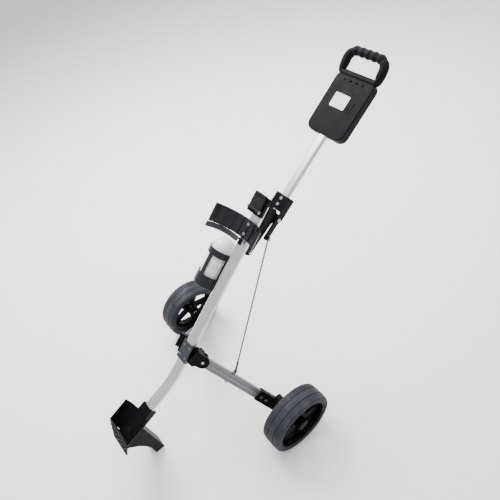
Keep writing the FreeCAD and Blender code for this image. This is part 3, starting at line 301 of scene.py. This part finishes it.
def dust_and_sheen_share(tree, amount):
    """Share of pale colour, patchy and only where the surface looks up: real dust on the plastics, a
    painted sky reflection on the tyres.
    """
    normal = tree.nodes.new("ShaderNodeTexCoord").outputs["Normal"]
    parts = tree.nodes.new("ShaderNodeSeparateXYZ")
    tree.links.new(normal, parts.inputs["Vector"])
    upward = remap(tree, parts.outputs["Z"], 0.2, 1.0, 0.0, amount)
    patches = remap(tree, noise(tree, grain_space(tree), 24.0, 6.0), 0.42, 0.68, 0.2, 1.0)
    return arithmetic(tree, "MULTIPLY", upward, patches)


# ---------------------------------------------------------------- finishes
def anodised(name, colour, angle, rough):
    """Extruded aluminium: fine draw lines along the tube, cloudy anodising and a few rubs."""
    material, tree, shader = new_material(name, colour, rough, 1.0)
    lines = noise(tree, grain_space(tree, (0.0011, 0.16, 0.0011), angle), 1.0, 3.0)
    cloud = noise(tree, grain_space(tree, (0.05, 0.14, 0.05), angle), 1.0, 4.0)
    rubs = remap(tree, noise(tree, grain_space(tree, (0.012, 0.05, 0.012), angle), 1.0, 8.0, 0.7),
                 0.60, 0.72, 0.0, 0.6)
    shaded = blend_colours(tree, remap(tree, lines, 0.3, 0.7, 0.0, 1.0), shade(colour, 0.88),
                           shade(colour, 1.06))
    clouded = blend_colours(tree, remap(tree, cloud, 0.35, 0.7, 0.0, 0.35), shaded,
                            shade(colour, 0.78))
    rubbed = blend_colours(tree, rubs, clouded, shade(colour, 0.62))
    tree.links.new(rubbed, shader.inputs["Base Color"])
    uneven = arithmetic(tree, "ADD", remap(tree, lines, 0.2, 0.8, rough - 0.05, rough + 0.05),
                        arithmetic(tree, "MULTIPLY", rubs, 0.25))
    tree.links.new(uneven, shader.inputs["Roughness"])
    add_bump(tree, shader, lines, 0.00006)
    return material


def moulded(name, colour, rough, grain=0.0009, dust=0.004, shine=0.06):
    """Moulded plastic: pebbled grain, uneven gloss, pale scuffs and a little dust on top."""
    material, tree, shader = new_material(name, colour, rough, shine=shine)
    pebble = noise(tree, grain_space(tree), 1.0 / grain, 2.0)
    uneven = noise(tree, grain_space(tree), 34.0, 5.0)
    scuffs = remap(tree, noise(tree, grain_space(tree, (0.004, 0.03, 0.012), 0.7), 1.0, 8.0, 0.72),
                   0.62, 0.74, 0.0, 0.5)
    varied = blend_colours(tree, remap(tree, uneven, 0.3, 0.7, 0.0, 1.0), shade(colour, 0.8),
                           shade(colour, 1.25))
    scuffed = blend_colours(tree, scuffs, varied, tuple(channel * 1.5 + 0.004 for channel in colour))
    dust_and_sheen_tinted = blend_colours(tree, dust_and_sheen_share(tree, dust), scuffed, (0.30, 0.29, 0.27))
    tree.links.new(dust_and_sheen_tinted, shader.inputs["Base Color"])
    gloss = arithmetic(tree, "ADD", remap(tree, uneven, 0.3, 0.7, rough - 0.07, rough + 0.07),
                       arithmetic(tree, "MULTIPLY", scuffs, 0.2))
    tree.links.new(gloss, shader.inputs["Roughness"])
    add_bump(tree, shader, pebble, 0.00012)
    return material


def tyre_finish(name, colour):
    """Foamed rubber: fine pores, a tread polished where it rolls, and a painted bluish sky reflection on
    the faces that look up.
    """
    material, tree, shader = new_material(name, colour, 0.62, shine=0.18)
    pores = noise(tree, grain_space(tree), 1500.0, 3.0)
    patches = noise(tree, grain_space(tree), 20.0, 7.0, 0.65)
    worn = remap(tree, patches, 0.48, 0.66, 0.0, 0.7)
    rubbed = blend_colours(tree, worn, colour, tuple(channel * 1.5 + 0.004 for channel in colour))
    # painted reflection: pale bluish grey on the upward faces stands in for the sky mirrored on the
    # tread
    dust_and_sheen_tinted = blend_colours(tree, dust_and_sheen_share(tree, 0.12), rubbed, (0.22, 0.23, 0.25))
    tree.links.new(dust_and_sheen_tinted, shader.inputs["Base Color"])
    tree.links.new(remap(tree, patches, 0.3, 0.7, 0.72, 0.50), shader.inputs["Roughness"])
    add_bump(tree, shader, arithmetic(tree, "ADD", pores, arithmetic(tree, "MULTIPLY", patches, 1.5)),
             0.00014)
    return material


def soft_rubber(name, colour):
    """Soft-touch rubber: matte, finely stippled, shinier where a hand polishes it."""
    material, tree, shader = new_material(name, colour, 0.6, shine=0.07)
    stipple = noise(tree, grain_space(tree), 1900.0, 2.0)
    handled = noise(tree, grain_space(tree), 15.0, 4.0)
    tinted = blend_colours(tree, remap(tree, handled, 0.35, 0.65, 0.0, 1.0), shade(colour, 0.8),
                           shade(colour, 1.3))
    tree.links.new(tinted, shader.inputs["Base Color"])
    tree.links.new(remap(tree, handled, 0.35, 0.65, 0.48, 0.68), shader.inputs["Roughness"])
    shader.inputs["Sheen Weight"].default_value = 0.05
    add_bump(tree, shader, stipple, 0.00016)
    return material


def plated(name, colour, rough):
    """Plated steel: fine brushing, dull spots and faint rust in the pits."""
    material, tree, shader = new_material(name, colour, rough, 1.0)
    brushing = noise(tree, grain_space(tree, (0.0009, 0.02, 0.0009), 0.6), 1.0, 3.0)
    spots = remap(tree, noise(tree, grain_space(tree), 120.0, 8.0, 0.7), 0.58, 0.72, 0.0, 0.55)
    toned = blend_colours(tree, remap(tree, brushing, 0.3, 0.7, 0.0, 1.0), shade(colour, 0.82),
                          shade(colour, 1.12))
    spotted = blend_colours(tree, spots, toned, (colour[0] * 0.55, colour[1] * 0.42, colour[2] * 0.32))
    tree.links.new(spotted, shader.inputs["Base Color"])
    tree.links.new(arithmetic(tree, "ADD", remap(tree, brushing, 0.2, 0.8, rough - 0.06, rough + 0.06),
                              arithmetic(tree, "MULTIPLY", spots, 0.35)), shader.inputs["Roughness"])
    add_bump(tree, shader, brushing, 0.00004)
    return material


def milky(name, colour, rough, glow):
    """Milky plastic: light scatters inside it, with mould marks and faint smears."""
    material, tree, shader = new_material(name, colour, rough)
    smears = noise(tree, grain_space(tree, (0.02, 0.06, 0.03), 0.8), 1.0, 6.0)
    cloud = noise(tree, grain_space(tree), 30.0, 4.0)
    tinted = blend_colours(tree, remap(tree, cloud, 0.35, 0.7, 0.0, 1.0), shade(colour, 0.93), colour)
    tree.links.new(tinted, shader.inputs["Base Color"])
    tree.links.new(remap(tree, smears, 0.3, 0.75, rough - 0.06, rough + 0.16),
                   shader.inputs["Roughness"])
    shader.inputs["Subsurface Weight"].default_value = glow
    shader.inputs["Subsurface Radius"].default_value = (0.012, 0.012, 0.012)
    shader.inputs["Subsurface Scale"].default_value = 1.0
    add_bump(tree, shader, smears, 0.00008)
    return material


def woven(name, colour):
    """Webbing: over-and-under weave that follows the band's own length and width."""
    material, tree, shader = new_material(name, colour, 0.8)
    space = grain_space(tree, (0.0022, 0.0022, 1.0), 0.0, (0.0, 0.0, 0.0), "UV")
    parts = tree.nodes.new("ShaderNodeSeparateXYZ")
    tree.links.new(space, parts.inputs["Vector"])
    waves = [arithmetic(tree, "SINE", arithmetic(tree, "MULTIPLY", parts.outputs[letter], math.tau), 0.0)
             for letter in "XY"]
    weave = remap(tree, arithmetic(tree, "MULTIPLY", *waves), -1.0, 1.0, 0.0, 1.0)
    fuzz = noise(tree, grain_space(tree), 1800.0, 4.0)
    threads = arithmetic(tree, "ADD", weave, arithmetic(tree, "MULTIPLY", fuzz, 0.5))
    tinted = blend_colours(tree, remap(tree, threads, 0.2, 1.2, 0.0, 1.0), shade(colour, 0.6),
                           shade(colour, 2.0))
    tree.links.new(tinted, shader.inputs["Base Color"])
    tree.links.new(remap(tree, fuzz, 0.3, 0.7, 0.7, 0.9), shader.inputs["Roughness"])
    shader.inputs["Sheen Weight"].default_value = 0.3
    add_bump(tree, shader, threads, 0.0003)
    return material


def all_finishes(colours):
    """One material for each of the cart's finishes, by the name of its slot."""
    black = tuple(colours.black)
    return {
        "silver_tube": anodised("silver_tube_finish", tuple(colours.silver), SPINE_ANGLE, 0.30),
        "stem_tube": anodised("stem_tube_finish", tuple(colours.stem), HANDLE_ANGLE, 0.34),
        "leg_alloy": anodised("leg_alloy_finish", tuple(colours.leg), SPINE_ANGLE, 0.38),
        "black_plastic": moulded("black_plastic_finish", black, 0.46),
        "satin_plastic": moulded("satin_plastic_finish", tuple(colours.satin), 0.30, 0.0007, 0.01, 0.4),
        "grey_plastic": moulded("grey_plastic_finish", tuple(colours.grey), 0.40, 0.0008, 0.02),
        "soft_rubber": soft_rubber("soft_rubber_finish", shade(black, 1.1)),
        "tyre_rubber": tyre_finish("tyre_rubber_finish", tuple(colours.tyre)),
        "hub_steel": plated("hub_steel_finish", (0.10, 0.105, 0.12), 0.30),
        "bolt_steel": plated("bolt_steel_finish", (0.36, 0.36, 0.37), 0.30),
        "bush_plastic": moulded("bush_plastic_finish", (0.70, 0.70, 0.67), 0.40, 0.0008, 0.0),
        "white_plastic": milky("white_plastic_finish", tuple(colours.milky), 0.30, 0.35),
        "webbing": woven("webbing_finish", (0.016, 0.016, 0.020)),
        "hook_plastic": moulded("hook_plastic_finish", shade(black, 1.3), 0.25, 0.0006, 0.02),
    }


FINISHES = {}


# ---------------------------------------------------------------- modelling by hand
def clear_selection():
    """Object mode, with nothing selected."""
    if bpy.context.object and bpy.context.object.mode != "OBJECT":
        bpy.ops.object.mode_set(mode="OBJECT")
    bpy.ops.object.select_all(action="DESELECT")


def finish_piece(piece, body, slot, nodes=(), smooth=35.0):
    """Shade a piece, give it its finish, and let it ride on its body."""
    clear_selection()
    piece.select_set(True)
    bpy.context.view_layer.objects.active = piece
    bpy.ops.object.transform_apply(location=True, rotation=True, scale=True)
    bpy.ops.object.shade_smooth_by_angle(angle=math.radians(smooth))
    piece.data.materials.clear()
    piece.data.materials.append(FINISHES[slot])
    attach(piece, body)
    if nodes:
        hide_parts(*nodes)
    return piece


def apply_modifier(piece, kind, **settings):
    """Add one modifier, set it up and apply it."""
    clear_selection()
    piece.select_set(True)
    bpy.context.view_layer.objects.active = piece
    modifier = piece.modifiers.new(kind.title(), kind)
    for name, value in settings.items():
        setattr(modifier, name, value)
    bpy.ops.object.modifier_apply(modifier=modifier.name)


def turned(name, outline, centre, axis, steps=96):
    """Round piece: an outline of (along, radius) points, extruded one by one and spun."""
    clear_selection()
    along = Vector(axis).normalized()
    outward = along.orthogonal().normalized()
    points = [centre + along * run + outward * radius for run, radius in outline]
    bpy.ops.mesh.primitive_plane_add(size=0.001, location=points[0])
    piece = bpy.context.object
    piece.name = name
    bpy.ops.object.transform_apply(location=True, rotation=True, scale=True)
    bpy.ops.object.mode_set(mode="EDIT")
    bpy.ops.mesh.select_all(action="SELECT")
    bpy.ops.mesh.merge(type="CENTER")
    for here, there in zip(points, points[1:]):
        bpy.ops.mesh.extrude_vertices_move(TRANSFORM_OT_translate={"value": there - here})
    bpy.ops.mesh.select_all(action="SELECT")
    bpy.ops.mesh.spin(steps=steps, angle=math.tau, center=centre, axis=along)
    bpy.ops.mesh.select_all(action="SELECT")
    bpy.ops.mesh.remove_doubles(threshold=0.00002)
    bpy.ops.mesh.normals_make_consistent(inside=False)
    bpy.ops.object.mode_set(mode="OBJECT")
    return piece


def bar_along(name, points, radii, closed=True):
    """Round bar of changing thickness along a line of points."""
    clear_selection()
    line = bpy.data.curves.new(name, "CURVE")
    line.dimensions = "3D"
    line.bevel_depth = 1.0
    line.bevel_resolution = 5
    line.use_fill_caps = not closed
    spline = line.splines.new("POLY")
    spline.points.add(len(points) - 1)
    for point, place, radius in zip(spline.points, points, radii):
        point.co = (*place, 1.0)
        point.radius = radius
    spline.use_cyclic_u = closed
    piece = bpy.data.objects.new(name, line)
    bpy.context.collection.objects.link(piece)
    piece.select_set(True)
    bpy.context.view_layer.objects.active = piece
    bpy.ops.object.convert(target="MESH")
    return bpy.context.object


def rounded_loop(half_wide, low, high, low_corner, high_corner, steps=8):
    """Points round a rectangle with rounded corners, in flat (x, y), anticlockwise."""
    corners = [(half_wide - low_corner, low + low_corner, low_corner, -90.0),
               (half_wide - high_corner, high - high_corner, high_corner, 0.0),
               (high_corner - half_wide, high - high_corner, high_corner, 90.0),
               (low_corner - half_wide, low + low_corner, low_corner, 180.0)]
    points = []
    for x, y, radius, start in corners:
        for step in range(steps + 1):
            angle = math.radians(start + 90.0 * step / steps)
            points.append((x + radius * math.cos(angle), y + radius * math.sin(angle)))
    return points


def even_spacing(points, gap):
    """The same closed line, with points about one gap apart."""
    spaced = []
    for (x0, y0), (x1, y1) in zip(points, points[1:] + points[:1]):
        parts = max(1, round(math.hypot(x1 - x0, y1 - y0) / gap))
        spaced += [(x0 + (x1 - x0) * part / parts, y0 + (y1 - y0) * part / parts)
                   for part in range(parts)]
    return spaced


def ribbon(name, route, across, columns):
    """Flat band: a row of points laid across, then extruded along its route."""
    clear_selection()
    bpy.ops.mesh.primitive_plane_add(size=0.001, location=route[0])
    band = bpy.context.object
    band.name = name
    bpy.ops.object.transform_apply(location=True, rotation=True, scale=True)
    bpy.ops.object.mode_set(mode="EDIT")
    bpy.ops.mesh.select_all(action="SELECT")
    bpy.ops.mesh.merge(type="CENTER")
    bpy.ops.transform.translate(value=-across / 2)
    for column in range(columns):
        bpy.ops.mesh.extrude_vertices_move(TRANSFORM_OT_translate={"value": across / columns})
    bpy.ops.mesh.select_all(action="SELECT")
    for here, there in zip(route, route[1:]):
        bpy.ops.mesh.extrude_edges_move(TRANSFORM_OT_translate={"value": there - here})
    bpy.ops.mesh.select_all(action="SELECT")
    bpy.ops.mesh.normals_make_consistent(inside=False)
    bpy.ops.object.mode_set(mode="OBJECT")
    return band


# ---------------------------------------------------------------- pieces
class CART_OT_finishes(bpy.types.Operator):
    """Give every carried-over part of the cart its finish"""
    bl_idname = "cart.finishes"
    bl_label = "Apply finishes"

    def execute(self, context):
        FINISHES.update(all_finishes(context.scene.cart_colours))
        for part in frame["record"]["subparts"]:
            node = frame["nodes"][part["node"]]
            node.data.materials.clear()
            node.data.materials.append(FINISHES[part["material_slot"]])
        return {"FINISHED"}


class CART_OT_tyres(bpy.types.Operator):
    """Turn both tyres, with a groove each side of the middle band and fine tread grooves"""
    bl_idname = "cart.tyres"
    bl_label = "Tyres"

    def execute(self, context):
        sizes = context.scene.cart_sizes
        half = TYRE_WIDTH / 2
        inner = WHEEL_RADIUS - sizes.tyre_depth
        ridge = TYRE_WIDTH / 6
        tread = [(0.0, WHEEL_RADIUS - 0.0003)]
        pitch = (half - 0.012 - ridge - 0.004) / sizes.tread_grooves
        tread += [(ridge - 0.004, WHEEL_RADIUS), (ridge - 0.0015, WHEEL_RADIUS),
                  (ridge - 0.0008, WHEEL_RADIUS - 0.003), (ridge + 0.0008, WHEEL_RADIUS - 0.003),
                  (ridge + 0.0015, WHEEL_RADIUS - 0.0004)]
        for number in range(sizes.tread_grooves):
            start = ridge + 0.004 + pitch * number
            crown = WHEEL_RADIUS - 0.0005 - 0.0012 * (number / sizes.tread_grooves) ** 2
            tread += [(start, crown), (start + pitch * 0.62, crown),
                      (start + pitch * 0.74, crown - sizes.groove_depth),
                      (start + pitch * 0.88, crown - sizes.groove_depth)]
        shoulder = [(half - 0.008, WHEEL_RADIUS - 0.0020), (half - 0.004, WHEEL_RADIUS - 0.0038),
                    (half - 0.0014, WHEEL_RADIUS - 0.0066), (half, WHEEL_RADIUS - 0.0105),
                    (half, inner + 0.009), (half - 0.0012, inner + 0.0065), (half, inner + 0.0045),
                    (half - 0.0035, inner)]
        right_half = tread + shoulder
        outline = [(-run, radius) for run, radius in reversed(right_half)] + right_half[1:]
        outline.append(outline[0])
        for side, name in ((1, "right"), (-1, "left")):
            centre = Vector((side * WHEEL_CENTRE.x, WHEEL_CENTRE.y, WHEEL_CENTRE.z))
            tyre = turned("tyre_tread_" + name, outline, centre, (1.0, 0.0, 0.0), 120)
            finish_piece(tyre, "wheel_" + name, "tyre_rubber", ["tyre_" + name], 28.0)
        return {"FINISHED"}


class CART_OT_grip(bpy.types.Operator):
    """Shape the handle loop, with finger swells on its far bar"""
    bl_idname = "cart.grip"
    bl_label = "Handle loop"

    def execute(self, context):
        sizes = context.scene.cart_sizes
        start = on_handle(0.0, 0.487, -0.004)
        outline = even_spacing(rounded_loop(0.0705, 0.0085, 0.0785, 0.012, 0.030), 0.0035)
        places = []
        radii = []
        for x, y in outline:
            places.append(start + tilted(HANDLE_ANGLE + GRIP_TILT, x, y, 0.0))
            reach = min(1.0, max(0.0, (y - 0.012) / 0.022))
            fingers = reach * sizes.grip_wave * math.cos(math.tau * x / 0.0235)
            far = 1.0 if y > 0.07 else 0.0
            radii.append(sizes.grip_radius * (0.78 + 0.22 * reach) * (1.0 + far * (fingers - 0.03)))
        grip = bar_along("grip_bar", places, radii)
        apply_modifier(grip, "SUBSURF", levels=1, render_levels=1)
        finish_piece(grip, "handle", "soft_rubber", ["grip_loop"], 60.0)
        return {"FINISHED"}


class CART_OT_bottle(bpy.types.Operator):
    """Turn the bottle and its domed, ribbed cap"""
    bl_idname = "cart.bottle"
    bl_label = "Bottle and cap"

    def execute(self, context):
        sizes = context.scene.cart_sizes
        radius = sizes.bottle_radius
        wall = sizes.bottle_wall
        shoulder = sizes.shoulder
        foot = on_spine(*BOTTLE_FOOT)
        outside = [(0.0, 0.0), (0.0022, 0.010), (0.0005, 0.030), (0.0018, 0.0375), (0.006, radius)]
        for start in BOTTLE_BANDS:
            outside += [(start, radius), (start + 0.003, radius - 0.0011),
                        (start + 0.007, radius - 0.0011), (start + 0.010, radius)]
        outside += [(shoulder - 0.003, radius), (shoulder - 0.0002, radius - 0.0006)]
        inside = [(shoulder - 0.0002, radius - wall), (0.006, radius - wall), (0.0045, 0.030),
                  (0.0045, 0.0)]
        bottle = turned("bottle_body", outside + inside, foot, UP_SPINE)
        finish_piece(bottle, "bottle", "white_plastic", ["bottle"], 32.0)
        top = foot + UP_SPINE * shoulder
        cap_outside = [(0.0, radius - 0.0045), (-0.004, radius - 0.0045), (-0.004, radius - 0.0024),
                       (0.0, radius - 0.0024), (0.0, radius), (0.005, radius), (0.006, radius - 0.0009),
                       (0.008, radius - 0.0009), (0.009, radius - 0.0003)]
        steps = 14
        for step in range(2, steps + 1):
            angle = math.pi / 2 * step / steps
            cap_outside.append((radius * math.sin(angle), radius * math.cos(angle)))
        hollow = radius - sizes.dome_wall
        dome_inside = [(hollow * math.sin(math.pi / 2 * step / steps),
                        hollow * math.cos(math.pi / 2 * step / steps))
                       for step in range(steps, 0, -1)]
        outline = cap_outside + dome_inside + [cap_outside[0]]
        cap = turned("bottle_dome", outline, top, UP_SPINE)
        finish_piece(cap, "bottle", "white_plastic", ["bottle_cap"], 30.0)
        return {"FINISHED"}


class CART_OT_strap(bpy.types.Operator):
    """Lay the cradle's webbing strap"""
    bl_idname = "cart.strap"
    bl_label = "Cradle strap"

    def execute(self, context):
        sizes = context.scene.cart_sizes
        points = [on_spine(x, sizes.strap_run, sizes.strap_rise + z) for x, z in STRAP_ROUTE]
        strap = ribbon("strap_band", points, UP_SPINE * sizes.strap_width, 6)
        weave = strap.data.uv_layers.new(name="weave")
        lengths = [0.0]
        for here, there in zip(points, points[1:]):
            lengths.append(lengths[-1] + (there - here).length)
        for loop in strap.data.loops:
            place = strap.data.vertices[loop.vertex_index].co
            sideways = (place - points[0]).dot(UP_SPINE)
            middle = place - UP_SPINE * sideways
            nearest = min(range(len(points)), key=lambda index: (middle - points[index]).length)
            weave.data[loop.index].uv = (sideways, lengths[nearest])
        apply_modifier(strap, "SUBSURF", levels=2, render_levels=2)
        apply_modifier(strap, "SOLIDIFY", thickness=sizes.strap_thickness, offset=0.0)
        finish_piece(strap, "frame", "webbing", ["cradle_strap"], 40.0)
        return {"FINISHED"}


class CART_OT_rest(bpy.types.Operator):
    """Web behind the lower rest's lattice, and the crossing ribs on its front wall"""
    bl_idname = "cart.rest"
    bl_label = "Lower rest"

    def execute(self, context):
        sizes = context.scene.cart_sizes
        middle = on_end(0.0, -0.050, 0.0145 + 0.064)
        route = []
        for step in range(25):
            angle = math.radians(5.0 * step - 60.0)
            route.append(middle + tilted(END_ANGLE, sizes.web_radius * math.sin(angle), 0.0,
                                         -sizes.web_radius * math.cos(angle)))
        web = ribbon("rest_web", route, UP_END * sizes.web_length, 4)
        apply_modifier(web, "SOLIDIFY", thickness=sizes.web_thickness, offset=0.0)
        finish_piece(web, "frame", "black_plastic", smooth=30.0)
        # the front wall narrows downwards, so each rib is cut where it would leave the wall
        wall_top = Vector((0.0, WHEEL_CENTRE.y - 0.499, 0.264))
        first, last, middle_depth = 0.006, 0.088, 0.047
        top_half, narrowing, proud = 0.058, 0.166, 0.0027
        samples = 40
        number = 0
        for slant in (-1.0, 1.0):
            for column in range(-4, 5):
                places = []
                for step in range(samples + 1):
                    depth = first + (last - first) * step / samples
                    x = column * sizes.rib_step + slant * (depth - middle_depth)
                    if abs(x) < top_half - narrowing * (depth - first):
                        places.append(wall_top + tilted(APRON_TILT, x, -proud, -depth))
                if len(places) > 5:
                    number += 1
                    rib = bar_along("rest_rib_%d" % number, [places[0], places[-1]],
                                    [sizes.rib_radius] * 2, closed=False)
                    # painted highlight: the ribs take the lighter grey finish, not the base's black, to
                    # stand in for the glints along them
                    finish_piece(rib, "frame", "grey_plastic", smooth=40.0)
        return {"FINISHED"}


class CART_OT_stage(bpy.types.Operator):
    """Set up the floor, the soft light and the camera"""
    bl_idname = "cart.stage"
    bl_label = "Stage"

    def execute(self, context):
        stage = context.scene.cart_stage
        target = Vector((0.0, WHEEL_CENTRE.y + 0.166, 0.6358))
        clear_selection()
        bpy.ops.mesh.primitive_plane_add(size=14.0, location=(0.0, 0.0, 0.0))
        floor = bpy.context.object
        floor.name = "studio_floor"
        material, tree, shader = new_material("floor_finish", (0.95, 0.95, 0.95), 0.8)
        soft = noise(tree, grain_space(tree), 3.0, 3.0)
        tree.links.new(remap(tree, soft, 0.3, 0.7, 0.66, 0.76), shader.inputs["Roughness"])
        floor.data.materials.append(material)
        world = bpy.data.worlds.new("studio")
        world.use_nodes = True
        sky = world.node_tree.nodes["Background"]
        sky.inputs["Color"].default_value = (1.0, 1.0, 1.0, 1.0)
        sky.inputs["Strength"].default_value = stage.sky
        context.scene.world = world
        for name, place, size, power in LAMPS:
            lamp = bpy.data.lights.new(name, "AREA")
            lamp.size = size
            lamp.energy = power
            light = bpy.data.objects.new(name, lamp)
            light.location = place
            light.rotation_euler = (target - Vector(place)).to_track_quat("-Z", "Y").to_euler()
            context.collection.objects.link(light)
        back = Vector((math.sin(stage.azimuth) * math.cos(stage.elevation),
                       -math.cos(stage.azimuth) * math.cos(stage.elevation),
                       math.sin(stage.elevation)))
        level = Vector((0.0, 0.0, 1.0)).cross(back).normalized()
        upward = back.cross(level)
        right = level * math.cos(stage.roll) + upward * math.sin(stage.roll)
        top = upward * math.cos(stage.roll) - level * math.sin(stage.roll)
        lens = bpy.data.cameras.new("view")
        lens.lens = stage.lens
        lens.sensor_width = 36.0
        camera = bpy.data.objects.new("view", lens)
        axes = Matrix((right, top, back)).transposed().to_4x4()
        camera.matrix_world = Matrix.Translation(target + back * stage.distance) @ axes
        context.collection.objects.link(camera)
        context.scene.camera = camera
        return {"FINISHED"}


class CART_PT_panel(bpy.types.Panel):
    """Sizes, colours and pieces of the cart"""
    bl_idname = "CART_PT_panel"
    bl_label = "Pull Cart"
    bl_space_type = "VIEW_3D"
    bl_region_type = "UI"
    bl_category = "Pull Cart"

    def draw(self, context):
        for group in (context.scene.cart_sizes, context.scene.cart_colours,
                      context.scene.cart_stage):
            for name in group.__annotations__:
                self.layout.prop(group, name)
        for piece in PIECES:
            self.layout.operator(piece.bl_idname)


PIECES = (CART_OT_finishes, CART_OT_tyres, CART_OT_grip, CART_OT_bottle, CART_OT_strap,
          CART_OT_rest, CART_OT_stage)
CLASSES = (CartSizes, CartColours, CartStage, *PIECES, CART_PT_panel)


def register():
    for kind in CLASSES:
        bpy.utils.register_class(kind)
    bpy.types.Scene.cart_sizes = bpy.props.PointerProperty(type=CartSizes)
    bpy.types.Scene.cart_colours = bpy.props.PointerProperty(type=CartColours)
    bpy.types.Scene.cart_stage = bpy.props.PointerProperty(type=CartStage)


def unregister():
    del bpy.types.Scene.cart_sizes
    del bpy.types.Scene.cart_colours
    del bpy.types.Scene.cart_stage
    for kind in reversed(CLASSES):
        bpy.utils.unregister_class(kind)


def main():
    register()
    bpy.ops.cart.finishes()
    bpy.ops.cart.tyres()
    bpy.ops.cart.grip()
    bpy.ops.cart.bottle()
    bpy.ops.cart.strap()
    bpy.ops.cart.rest()
    bpy.ops.cart.stage()


if __name__ == "__main__":
    main()
